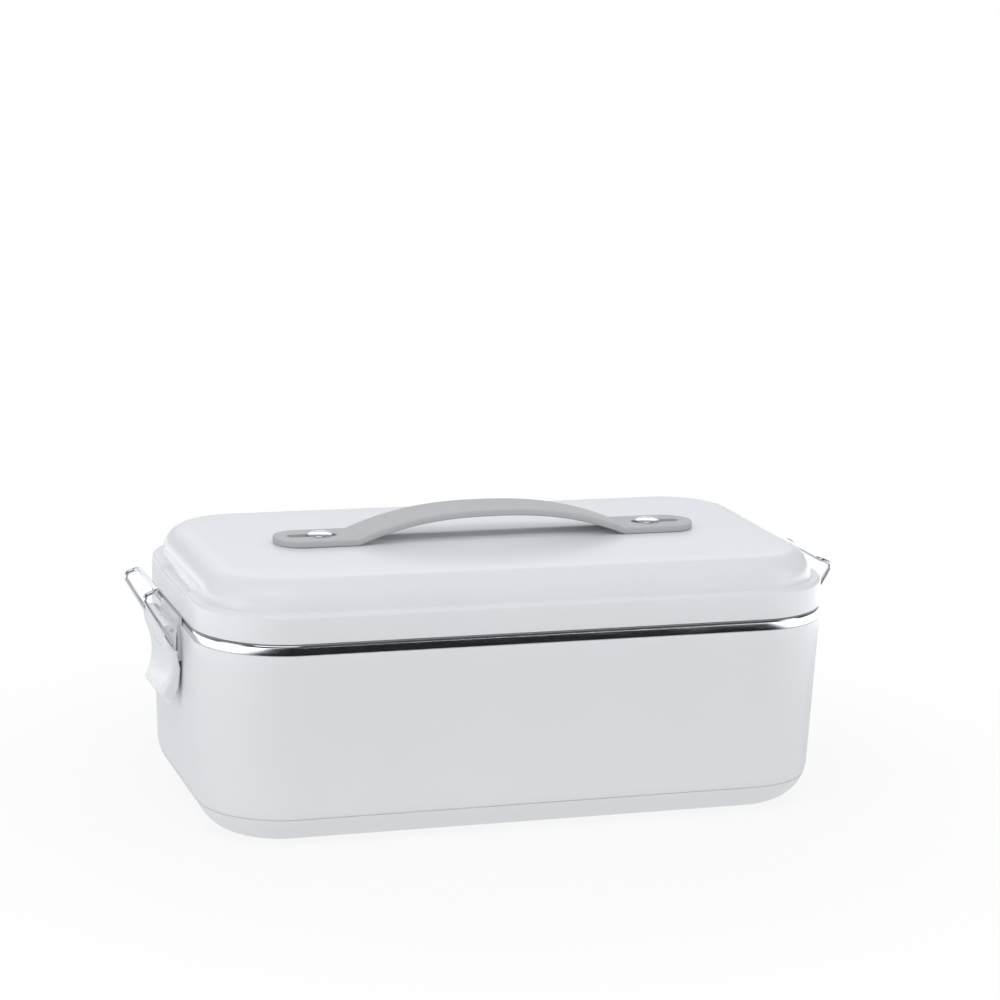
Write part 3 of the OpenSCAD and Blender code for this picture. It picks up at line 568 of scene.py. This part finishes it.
def make_inner_lid(s):
    """Inner lid: a plug and a flange below, and a raised ring with a round lug at each end above."""
    rim, flange, top = s["rim_top"], s["flange_top"], s["ring_top"]
    edge, plug_out, plug_in, plug_deep = 1.95, 10.2, 11.8, 8.4
    under = fillet([(plug_in + 0.8, rim), (plug_in, rim), (plug_in, rim - plug_deep),
                    (plug_out, rim - plug_deep), (plug_out, rim), (edge, rim), (edge, flange),
                    (8.0, flange)], [0.1, 0.4, 0.4, 0.15, 0.45, 0.45])
    ring, wall, floor = (209.4, 63.7, 22.0), 1.6, flange + SEAT_GAP
    lug_r, lug_high, lug_round, lug_out = 6.5, 8.4, 4.4, 1.8
    lug_top = flange + lug_high
    closer = (0, 2, 4, 5, 5.6, 6.2, 6.8, 7.3, 7.7, 8.0, 8.2, 8.35, lug_high)
    rise = [(0.0, flange + z) for z in closer]
    ring_profile = fillet(
        [(-1.2, flange)] + rise + [(0.0, lug_top + 0.1), (0.0, top), (wall, top), (wall, floor),
                                   (wall + 3, floor)],
        [0.6] + [0] * len(rise) + [0.5, 0.5, 0.6])

    def lugs(grid):
        """Pushes the ring's outer wall out into a half-round lug at each end. Its reach is a circle
        in plan and a little more, times a quarter circle where the lug rounds over to its top."""
        x, y, z = grid[..., 0], grid[..., 1], grid[..., 2]
        end, behind, beyond = ring[0] / 2, 0.7, 1.3
        on_wall = (np.abs(x) > end - behind) & (np.abs(x) < end + beyond) & (z > flange - 0.01)
        inside = (z < lug_top) & (np.abs(y) < lug_r)
        high = np.clip((z - lug_top + lug_round) / lug_round, 0, 1)
        plan = np.sqrt(np.clip(lug_r ** 2 - y ** 2, 0, None)) + lug_out
        grid[..., 0] = x + np.sign(x) * np.where(on_wall & inside, plan * np.sqrt(1 - high ** 2), 0)

    rows = filled(rim_rows(s, under) + plan_rows(ring, ring_profile))
    return loft("inner_lid_skin", rows, change=lugs, sharp=50)


def make_seal(s):
    """Seal: a silicone ring between the container's neck and the plug."""
    outer, middle, inner, top = 5.05, 7.0, 10.05, s["rim_top"] - 0.03
    low = top - 3.7
    profile = fillet([(middle, top), (outer, top), (outer, low), (inner, low), (inner, top),
                      (middle, top)], [0.5, 1.2, 1.2, 0.3])
    return loft("seal_skin", rim_rows(s, profile[:-1]), closed=True, sharp=60)


# ---- outer lid and handle --------------------------------------------------------------------

def make_outer_lid(s):
    """Outer lid: skirt, ledge and dome in one skin, with a shallow seat for each bail's hook."""
    low, ledge, top = s["rim_top"] + SEAT_GAP, s["ledge"], s["lid_top"]
    dome_in, lean, rnd, skirt, skirt_in, shelf_deep = 3.6, 0.6, 9.6, 0.12, 1.5, 2.9
    seat_insets = np.linspace(1.7, 2.8, 5)
    dome = dome_edge(dome_in + lean, top, rnd, quarter(12))
    outer = fillet([(1.0, low), (skirt, low), (skirt, ledge), (dome_in + 0.1, ledge), dome[0]],
                   [0.4, 1.5, 0.7])
    at = next(i for i, p in enumerate(outer) if p[1] > ledge - 0.01 and p[0] > skirt_in)
    outer[at + 1:at + 1] = [(inset, ledge) for inset in seat_insets]
    under = dome_edge(dome_in + WALL + lean, top - WALL, rnd - WALL, quarter(9)[::-1])
    shelf = ledge - shelf_deep
    inside = [(dome_in + WALL, shelf), (skirt_in, shelf), (skirt_in, low)]
    rows = rim_rows(s, inside[-1:] + outer + dome[1:])
    inner_rows = rim_rows(s, under + inside)
    rows += toward_middle(rows[-1]) + toward_middle(inner_rows[0])[::-1] + inner_rows
    hook_half, ramp, seat_deep, seat_span, seat_fade = 22.6, 3.0, 1.6, 2.6, 1.0

    def seats(grid):
        """Lowers the ledge by a smooth step where |y| is below the hook's half width."""
        x, y, z = grid[..., 0], grid[..., 1], grid[..., 2]
        end = s["rim_length"] / 2
        side = np.clip((hook_half - np.abs(y)) / ramp, 0, 1)
        side = side * side * (3 - 2 * side)
        high = np.clip((z - (ledge - seat_span)) / seat_fade, 0, 1)
        on = (np.abs(x) > end - dome_in - 0.25) & (np.abs(x) <= end) & (z < ledge + 0.3)
        grid[..., 2] = z - np.where(on, seat_deep * side * high, 0)

    return loft("outer_lid_skin", rows, closed=True, change=seats, sharp=50)


def arch(s, x):
    """Height of the strap's underside: flat at its ends, a power curve in its arch."""
    arch_length, power = 104.0, 2.4
    t = np.clip(np.abs(2 * x / arch_length), 0, 1)
    return s["lid_top"] + s["strap_rise"] * (1 - t ** power)


def make_strap(s):
    """Strap: a flat bar with rounded ends and edges, lifted along the arch and leaning half as far as
    the arch does, with a slot at each stud."""
    half_l, half_w, t, end_r, edge = s["strap_length"] / 2, s["strap_width"] / 2, 2.5, 10.0, 0.8
    straight = half_l - end_r
    ends = straight + end_r * np.sin(np.radians(np.linspace(8, 89.5, 14)))
    x = np.concatenate([-ends[::-1], np.linspace(-straight, straight, 110), ends])[:, None]
    over = np.maximum(np.abs(x) - straight, 0)
    half = half_w - end_r + np.sqrt(np.maximum(end_r ** 2 - over ** 2, 0))
    tiny = 0.01
    tilt = np.arctan((arch(s, x + tiny) - arch(s, x - tiny)) / (2 * tiny))
    angle = np.concatenate([quarter(5, start) for start in (0, 90, 180, 270)])
    side, level = np.repeat([1, -1, -1, 1], 6), np.repeat([1, 1, -1, -1], 6)
    round_ = np.minimum(edge, half * 0.9)
    y = side * (half - round_) + round_ * np.cos(angle)
    z = t / 2 + level * (t / 2 - edge) + edge * np.sin(angle)
    piece = stacked("strap_skin", grid_of(x - np.sin(tilt) * (z - t / 2) / 2, y, arch(s, x) + z))
    stud_r, slot_room, slot_r, slot_l, below, above = 2, 4.5, 2.3, 19, 2, 6
    near = s["stud_pitch"] / 2 - stud_r - slot_room + slot_r
    far = near + slot_l - 2 * slot_r
    turn = np.linspace(0, math.pi, 16)
    plan_x = np.concatenate([far + slot_r * np.sin(turn), near - slot_r * np.sin(turn)])
    plan_y = slot_r * np.concatenate([np.cos(turn), -np.cos(turn)])
    low, high = s["lid_top"] - below, s["lid_top"] + above
    slots = [prism(np.column_stack([side * plan_x, plan_y]), low, high)
             for side in SIDES.values()]
    return cut(piece, slots, 50)


def make_studs(s):
    """Studs: low domed heads over the strap's ends, on shanks that go down through the lid. Each is
    a profile of radius and height turned round the upright through its stud."""
    z, r, shank_r, shank_low = s["lid_top"] + 2.5, 4.65, 2.0, s["lid_top"] - 6
    rise, last, steps = 0.95, math.radians(85), 48
    angles = np.linspace(0, last, 12)
    fall = (np.cos(angles) - math.cos(last)) / (1 - math.cos(last))
    dome = np.column_stack([r * np.sin(angles), z + 0.35 + rise * fall])
    edge = [(r, z + 0.3), (r - 0.12, z + 0.02), (shank_r, z), (shank_r, shank_low), (0, shank_low)]
    radius, height = np.vstack([dome, edge]).T
    turn = circle(steps)[:, None]
    x, y = radius * np.cos(turn), radius * np.sin(turn)
    studs = [grid_of(side * s["stud_pitch"] / 2 + x, y, height) for side in SIDES.values()]
    faces = quads(steps, len(radius), close_rows=True, close_columns=False)
    faces += [[i + x.size for i in face] for face in faces]
    return mesh_piece("stud_heads", np.reshape(studs, (-1, 3)), faces, 45)


# ---- latches ---------------------------------------------------------------------------------

LEVER = {  # each place as millimetres out from the rim's end and up from the table
    "pin": (3.2, 71.0), "bail": (3.6, 66.3), "shoulder": (6.4, 69.4), "shoulder_foot": (3.51, 64.6),
    "top": 73.0, "waist": 67.0, "lip": 47.2, "lip_round": 1.3, "lip_step": 0.43, "tip": 42.7,
    "front": 6.4, "tip_out": 3.8, "hollow": 2.1, "wall": 1.6, "inner_half": 15.4,
    "neck_half": 17.0, "top_half": 20.0, "foot_half": 13.0, "neck_r": 2.0, "cheek": 1.6,
    "cheek_top": 69.5, "cheek_low": 62.0, "near": 0.2, "near_top": 56.5, "heel_top": 52.0,
    "heel": 9.31, "heel_front": 0.35, "least": 0.15, "corner": 2.6,
}
BAIL = {"lean": 31, "hook_turn": 69, "leg_half": 18.0, "foot_half": 15.6, "leg": 21.0, "hook": 5.9}


def make_bail(s, side_name):
    """Bail: one wire from pivot to pivot: legs leaning out, a hook turned in and a cross bar."""
    lean, hook_turn = math.radians(BAIL["lean"]), math.radians(BAIL["hook_turn"])
    end, half = s["rim_length"] / 2, BAIL["leg_half"]
    pivot = np.array(LEVER["bail"])
    bend = pivot + np.array([math.sin(lean), math.cos(lean)]) * BAIL["leg"]
    tip = bend + np.array([-math.sin(hook_turn), math.cos(hook_turn)]) * BAIL["hook"]
    line = [(SIDES[side_name] * (end + out), y, z)
            for (out, z), y in ((pivot, BAIL["foot_half"]), (pivot, half), (bend, half), (tip, half))]
    points = line + [(x, -y, z) for x, y, z in line[::-1]]
    path = fillet(points, [0.85, 2.0, 2.0, 2.0, 2.0, 0.85])
    return tube("bail_wire_" + side_name, path, s["bail_wire"])


def lever_front(z):
    """The lever's front face: a quarter round at the top, upright, then a sine hollow with a
    fourth-power lip, a sine round under the lip, and a straight slant to the tip."""
    v = LEVER
    lip_low, slant = v["lip"] - v["lip_round"], v["front"] + 1 - v["lip_step"]
    over = v["front"] - 1 + np.sqrt(np.clip(1 - (z - v["top"] + 1) ** 2, 0, None))
    t = (v["waist"] - z) / (v["waist"] - v["lip"])
    hollow = v["front"] + t ** 4 - v["hollow"] * np.sin(math.pi * t)
    lip = slant + v["lip_step"] * np.sin(math.pi / 2 * (z - lip_low) / v["lip_round"])
    low = v["tip_out"] + (slant - v["tip_out"]) * (z - v["tip"]) / (lip_low - v["tip"])
    return np.select([z > v["top"] - 1, z > v["waist"], z > v["lip"], z > lip_low],
                     [over, v["front"], hollow, lip], low)


def lever_back(z):
    """The lever's back: a round neck at its pin, cheeks that lean a little, a ramp nearer to the
    wall and a heel that is part of an ellipse."""
    v = LEVER
    pin_out, pin_z = v["pin"]
    neck = pin_out - np.sqrt(np.clip(v["neck_r"] ** 2 - (z - pin_z) ** 2, 0, None))
    cheeks = v["cheek"] - 0.4 * np.maximum(z - v["cheek_top"], 0) / (pin_z - v["cheek_top"])
    ramp = np.maximum(z - v["near_top"], 0) / (v["cheek_low"] - v["near_top"])
    ramp = v["near"] + (v["cheek"] - v["near"]) * ramp
    fall = 1 - np.sqrt(np.clip(1 - ((v["heel_top"] - z) / v["heel"]) ** 2, 0, None))
    heel = v["near"] + (v["tip_out"] - v["heel_front"]) * fall
    return np.select([z > pin_z, z > v["cheek_low"], z > v["heel_top"]], [neck, cheeks, ramp], heel)


def lever_section(z):
    """The lever cut level at each height z: X and Y round a channel that is open to the wall and
    wider outside its shoulder, with quarter rounds at its front corners."""
    v = LEVER
    back = lever_back(z)
    front = np.maximum(lever_front(z), back + v["least"])
    (foot_out, foot_z), (top_out, top_z) = v["shoulder_foot"], v["shoulder"]
    below = np.maximum(v["bail"][1] - z, 0) / (v["bail"][1] - v["tip"])
    half = v["top_half"] - (v["top_half"] - v["foot_half"]) * below
    half = np.where(z >= top_z, v["neck_half"], half)
    neck = np.where(z > foot_z - 1, v["neck_half"], half)
    start = back + 0.3
    slope = np.where(z < foot_z, start + (foot_out - start) * (z - foot_z + 1),
                     np.interp(z, [foot_z, top_z], [foot_out, top_out]))
    step = np.minimum(np.where(z > foot_z - 1, slope, back), front)
    inner_half = np.minimum(v["inner_half"], half - v["wall"])
    inner = np.where(z > v["lip"] - 0.5, np.maximum(front - v["wall"], back), back)
    radius = np.minimum(np.minimum(v["corner"], front - step), (front - back) * 0.9)
    radius = np.maximum(radius, 0.02)
    soft = np.minimum(0.3, (front - back) * 0.2)
    outer = np.maximum(step, back + soft)
    x = np.hstack([inner, back, back, back + soft, outer, outer,
                   front - radius + radius * np.sin(quarter(8))])
    y = np.hstack([inner_half, inner_half, neck - soft, neck, neck, half,
                   half - radius + radius * np.cos(quarter(8))])
    return np.hstack([x, x[:, ::-1]]), np.hstack([y, -y[:, ::-1]])


def make_lever(s, side_name):
    """Lever: level sections stacked from its tip to its top, with bores for the pin and the bail,
    and a slot in its front."""
    v, side, tiny = LEVER, SIDES[side_name], 0.01
    floor, foot, top = v["lip"] - 0.5, v["shoulder_foot"][1], v["shoulder"][1]
    stops = [v["tip"], v["tip"] + 0.3, floor - tiny, floor + tiny, foot - 1 - tiny, foot - 1 + tiny,
             foot, top - tiny, top + tiny, v["pin"][1], v["top"] - 1, v["top"]]
    counts = [3, 14, 1, 60, 1, 4, 14, 1, 6, 4, 8]
    spans = [np.linspace(*span, endpoint=False) for span in zip(stops, stops[1:], counts)]
    z = np.concatenate(spans + [stops[-1:]])[:, None]
    x, y = lever_section(z)
    end = s["rim_length"] / 2
    piece = stacked("lever_skin_" + side_name, grid_of(side * (end + x), y, z), 38)
    bores = [prism(disc(side * (end + out), up, radius, 24), -30, 30, axis=1)
             for (out, up), radius in ((v["pin"], 0.75), (v["bail"], 0.8))]
    slot_back, slot_front, slot_half, slot_low, slot_top = 4.9, 9, 7, 62.6, 63.3
    plan = rectangle(side * (end + slot_back), -slot_half, side * (end + slot_front), slot_half)
    return cut(piece, bores + [prism(plan, slot_low, slot_top)], 38)


# ---- CAD nodes that stay ---------------------------------------------------------------------

KEPT = {
    "rubber_feet": "foot rubber", "base_screws": "screw steel", "inner_liner": "liner plastic",
    "heater_plate": "aluminium", "plate_screws": "screw steel", "heating_element": "mica board",
    "element_clamp": "pressed steel", "clamp_screws": "screw steel", "thermostat": "black plastic",
    "thermal_fuse": "sleeve", "fuse_clip": "pressed steel", "inlet_socket": "black plastic",
    "inlet_pins": "brass", "live_wire": "brown wire", "link_wire": "red wire",
    "neutral_wire": "blue wire", "latch_bracket_left": "lever plastic",
    "latch_bracket_right": "lever plastic", "lever_pin_left": "chrome", "lever_pin_right": "chrome",
    "stud_washers": "screw steel", "stud_nuts": "screw steel",
}
BEVELS = {"rubber_feet": 0.4}


def dress(name, finish):
    """Gives a CAD node its material, and softens its edges where they show."""
    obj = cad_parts[name]
    obj.data.materials.clear()
    obj.data.materials.append(finishes()[finish])
    obj.data.polygons.foreach_set("use_smooth", [True] * len(obj.data.polygons))
    weld = obj.modifiers.new("weld", "WELD")
    weld.merge_threshold = MERGE
    if name in BEVELS:
        bevel = obj.modifiers.new("bevel", "BEVEL")
        bevel.width, bevel.segments, bevel.limit_method = BEVELS[name] * MM, 3, "ANGLE"
        bevel.angle_limit = math.radians(35)
    split = obj.modifiers.new("split", "EDGE_SPLIT")
    split.split_angle = math.radians(36)


# ---- stage -----------------------------------------------------------------------------------

CAMERA = {"place": (-0.338255, -1.057158, 0.344584), "yaw": 0.3141, "pitch": 0.2075,
          "roll": 0.0267, "lens": 108.8}  # metres, radians, millimetres of focal length
MIDDLE = (0, 0, 0.08)
LIGHTS = {  # place, width and height in metres, and power in watts
    "top light": ((0.1, -0.1, 1.5), (1.6, 1.2), 1.4),
    "left light": ((-1.7, -0.35, 0.6), (0.9, 1.1), 4.4),
    "right light": ((1.5, -0.8, 0.6), (0.7, 1.0), 3.4),
    "front light": ((-0.4, -0.9, 1.3), (1.2, 0.5), 4.6),
    "back light": ((0.3, 1.5, 0.9), (1.6, 0.8), 3),
}


def stand(obj, right, up, back, place):
    """Puts a camera or a light at its place, with its own X, Y and Z along these directions."""
    columns = (right, up, back, place)
    obj.matrix_world = Matrix([[column[i] for column in columns] for i in range(3)] + [[0, 0, 0, 1]])
    bpy.context.scene.collection.objects.link(obj)


def make_camera():
    """The camera, placed by matching the photograph's edges."""
    cy, sy = math.cos(CAMERA["yaw"]), math.sin(CAMERA["yaw"])
    cp, sp = math.cos(CAMERA["pitch"]), math.sin(CAMERA["pitch"])
    cr, sr = math.cos(CAMERA["roll"]), math.sin(CAMERA["roll"])
    forward = np.array([sy * cp, cy * cp, -sp])
    level = np.array([cy, -sy, 0.0])
    upright = np.cross(level, forward)
    data = bpy.data.cameras.new("camera")
    data.lens, data.sensor_width, data.clip_end = CAMERA["lens"], 36.0, 50.0
    camera = bpy.data.objects.new("camera", data)
    stand(camera, cr * level + sr * upright, -sr * level + cr * upright, -forward, CAMERA["place"])
    bpy.context.scene.camera = camera


def make_lights():
    """Soft lights that look at the middle of the box."""
    for name, (place, size, power) in LIGHTS.items():
        data = bpy.data.lights.new(name, "AREA")
        data.shape, data.size, data.size_y, data.energy = "RECTANGLE", *size, power
        back = np.subtract(place, MIDDLE)
        back /= np.linalg.norm(back)
        overhead = back[2] > 0.99
        right = np.array([1.0, 0, 0]) if overhead else np.cross([0, 0, 1.0], back)
        right /= np.linalg.norm(right)
        stand(bpy.data.objects.new(name, data), right, np.cross(back, right), back, place)


def make_floor():
    """A pale floor: it takes a soft shadow near the box and is white farther out. Mirrors see it dark
    from about 14 cm in front of the box, bright nearer to the box and behind it, and brightest on
    either side. It throws an even light back at the box."""
    plan = rectangle(-6000, -6000, 6000, 12000)
    floor = mesh_piece("floor", [(x, y, 0) for x, y in plan], [(0, 1, 2, 3)])
    made = bpy.data.materials.new("floor")
    made.use_nodes = True
    tree = made.node_tree
    tree.nodes.clear()
    place = object_place(tree)
    noise = node(tree, "TexNoise", {"Vector": place, "Scale": 3.0})["Fac"]
    greys = {0: noise, MIX_A: (0.86, 0.86, 0.87, 1), MIX_B: (0.89, 0.89, 0.90, 1)}
    grey = node(tree, "Mix", greys, data_type="RGBA")[MIX_OUT]
    diffuse = node(tree, "BsdfDiffuse", {"Color": grey})[0]
    parts = node(tree, "SeparateXYZ", {0: place})
    aside = node(tree, "Math", {0: parts["X"]}, operation="ABSOLUTE")[0]
    panel = map_range(tree, aside, (0.25, 0.35, 0.03, 2.8), "SMOOTHSTEP")
    near = map_range(tree, parts["Y"], (-0.21, -0.13, 0.03, 0.85), "SMOOTHSTEP")
    shine = emission(tree, (0.93, 0.97, 1, 1), either(tree, panel, near))
    distance = node(tree, "VectorMath", {0: place}, operation="LENGTH")["Value"]
    far = map_range(tree, distance, (0.12, 0.28, 0.80, 1.0), "SMOOTHSTEP")
    path = node(tree, "LightPath", {})
    direct = either(tree, path["Is Camera Ray"], path["Is Transmission Ray"])
    seen = node(tree, "Math", {0: direct, 1: far}, operation="MULTIPLY")[0]
    soft = mix_shaders(tree, path["Is Diffuse Ray"], diffuse, emission(tree, WHITE, 0.95))
    mirrored = mix_shaders(tree, path["Is Glossy Ray"], soft, shine)
    lit = mix_shaders(tree, seen, mirrored, emission(tree, WHITE, 1.0))
    node(tree, "OutputMaterial", {"Surface": lit})
    floor.data.materials.append(made)


def make_world():
    """White where the camera or clear plastic sees it, even grey for light; mirrors see a room that
    is dark in front and above, and brighter the farther back they look."""
    world = bpy.data.worlds.new("studio")
    bpy.context.scene.world = world
    world.use_nodes = True
    tree = world.node_tree
    tree.nodes.clear()
    seen = node(tree, "Background", {"Color": WHITE, "Strength": 1.0})[0]
    light = node(tree, "Background", {"Color": (0.95, 0.97, 1, 1), "Strength": 0.70})[0]
    direction = node(tree, "TexCoord", {})["Generated"]
    room = tree.nodes.new("ShaderNodeValToRGB")
    tree.links.new(node(tree, "SeparateXYZ", {0: direction})["Y"], room.inputs[0])
    first, last = room.color_ramp.elements
    first.position, first.color = 0.0, (0.10, 0.105, 0.115, 1)
    last.position, last.color = 0.9, (0.62, 0.64, 0.68, 1)
    mirror = node(tree, "Background", {"Color": room.outputs[0], "Strength": 1.0})[0]
    path = node(tree, "LightPath", {})
    direct = either(tree, path["Is Camera Ray"], path["Is Transmission Ray"])
    lit = mix_shaders(tree, path["Is Glossy Ray"], light, mirror)
    node(tree, "OutputWorld", {"Surface": mix_shaders(tree, direct, lit, seen)})


# ---- operators -------------------------------------------------------------------------------

class BUILD_OT_body(bpy.types.Operator):
    """Builds the outer shell and the base cover."""
    bl_idname = "lunch_box.body"
    bl_label = "Build Body"

    def execute(self, context):
        s = sizes()
        finish_piece(make_shell(s), "root", "outer_shell", "white plastic")
        finish_piece(make_base(s), "root", "base_cover", "white plastic")
        return {"FINISHED"}


class BUILD_OT_container(bpy.types.Operator):
    """Builds the steel container."""
    bl_idname = "lunch_box.container"
    bl_label = "Build Container"

    def execute(self, context):
        piece = make_container(sizes())
        finish_piece(piece, "container", "steel_container", "drawn steel")
        return {"FINISHED"}


class BUILD_OT_inner_lid(bpy.types.Operator):
    """Builds the clear inner lid and its seal."""
    bl_idname = "lunch_box.inner_lid"
    bl_label = "Build Inner Lid"

    def execute(self, context):
        s = sizes()
        finish_piece(make_inner_lid(s), "inner_lid", "clear_lid", "clear plastic")
        finish_piece(make_seal(s), "inner_lid", "lid_seal", "silicone")
        return {"FINISHED"}


class BUILD_OT_outer_lid(bpy.types.Operator):
    """Builds the domed outer lid."""
    bl_idname = "lunch_box.outer_lid"
    bl_label = "Build Outer Lid"

    def execute(self, context):
        piece = make_outer_lid(sizes())
        finish_piece(piece, "outer_lid", "outer_lid", "lid plastic")
        return {"FINISHED"}


class BUILD_OT_handle(bpy.types.Operator):
    """Builds the strap and the studs that hold it."""
    bl_idname = "lunch_box.handle"
    bl_label = "Build Handle"

    def execute(self, context):
        s = sizes()
        finish_piece(make_strap(s), "outer_lid", "carry_handle", "strap plastic")
        finish_piece(make_studs(s), "outer_lid", "handle_studs", "chrome")
        return {"FINISHED"}


class BUILD_OT_latches(bpy.types.Operator):
    """Builds the levers and the wire bails of both latches."""
    bl_idname = "lunch_box.latches"
    bl_label = "Build Latches"

    def execute(self, context):
        s = sizes()
        for side in SIDES:
            finish_piece(make_bail(s, side), "bail_" + side, "wire_bail_" + side,
                         "chrome")
            finish_piece(make_lever(s, side), "lever_" + side, "latch_lever_" + side,
                         "lever plastic")
        return {"FINISHED"}


class BUILD_OT_kept(bpy.types.Operator):
    """Gives the CAD parts that stay their materials and soft edges."""
    bl_idname = "lunch_box.kept"
    bl_label = "Dress Kept Parts"

    def execute(self, context):
        for name, finish in KEPT.items():
            dress(name, finish)
        return {"FINISHED"}


class BUILD_OT_stage(bpy.types.Operator):
    """Builds the camera, the floor, the world and the lights."""
    bl_idname = "lunch_box.stage"
    bl_label = "Build Stage"

    def execute(self, context):
        make_camera()
        make_floor()
        make_world()
        make_lights()
        context.scene.view_settings.view_transform = "Standard"
        return {"FINISHED"}


OPERATORS = (BUILD_OT_stage, BUILD_OT_body, BUILD_OT_container, BUILD_OT_inner_lid, BUILD_OT_outer_lid,
             BUILD_OT_handle, BUILD_OT_latches, BUILD_OT_kept)


class LUNCHBOX_PT_panel(bpy.types.Panel):
    """Lists the operators that build the lunch box."""
    bl_idname = "LUNCHBOX_PT_panel"
    bl_label = "Lunch Box"
    bl_space_type = "VIEW_3D"
    bl_region_type = "UI"
    bl_category = "Lunch Box"

    def draw(self, context):
        for operator in OPERATORS:
            self.layout.operator(operator.bl_idname)


CLASSES = (LunchBoxSizes, LunchBoxLooks) + OPERATORS + (LUNCHBOX_PT_panel,)


def register():
    for cls in CLASSES:
        bpy.utils.register_class(cls)
    bpy.types.Scene.lunch_box_sizes = PointerProperty(type=LunchBoxSizes)
    bpy.types.Scene.lunch_box_looks = PointerProperty(type=LunchBoxLooks)


def unregister():
    del bpy.types.Scene.lunch_box_looks
    del bpy.types.Scene.lunch_box_sizes
    for cls in reversed(CLASSES):
        bpy.utils.unregister_class(cls)


def main():
    register()
    for operator in OPERATORS:
        space, name = operator.bl_idname.split(".")
        getattr(getattr(bpy.ops, space), name)()


if __name__ == "__main__":
    main()
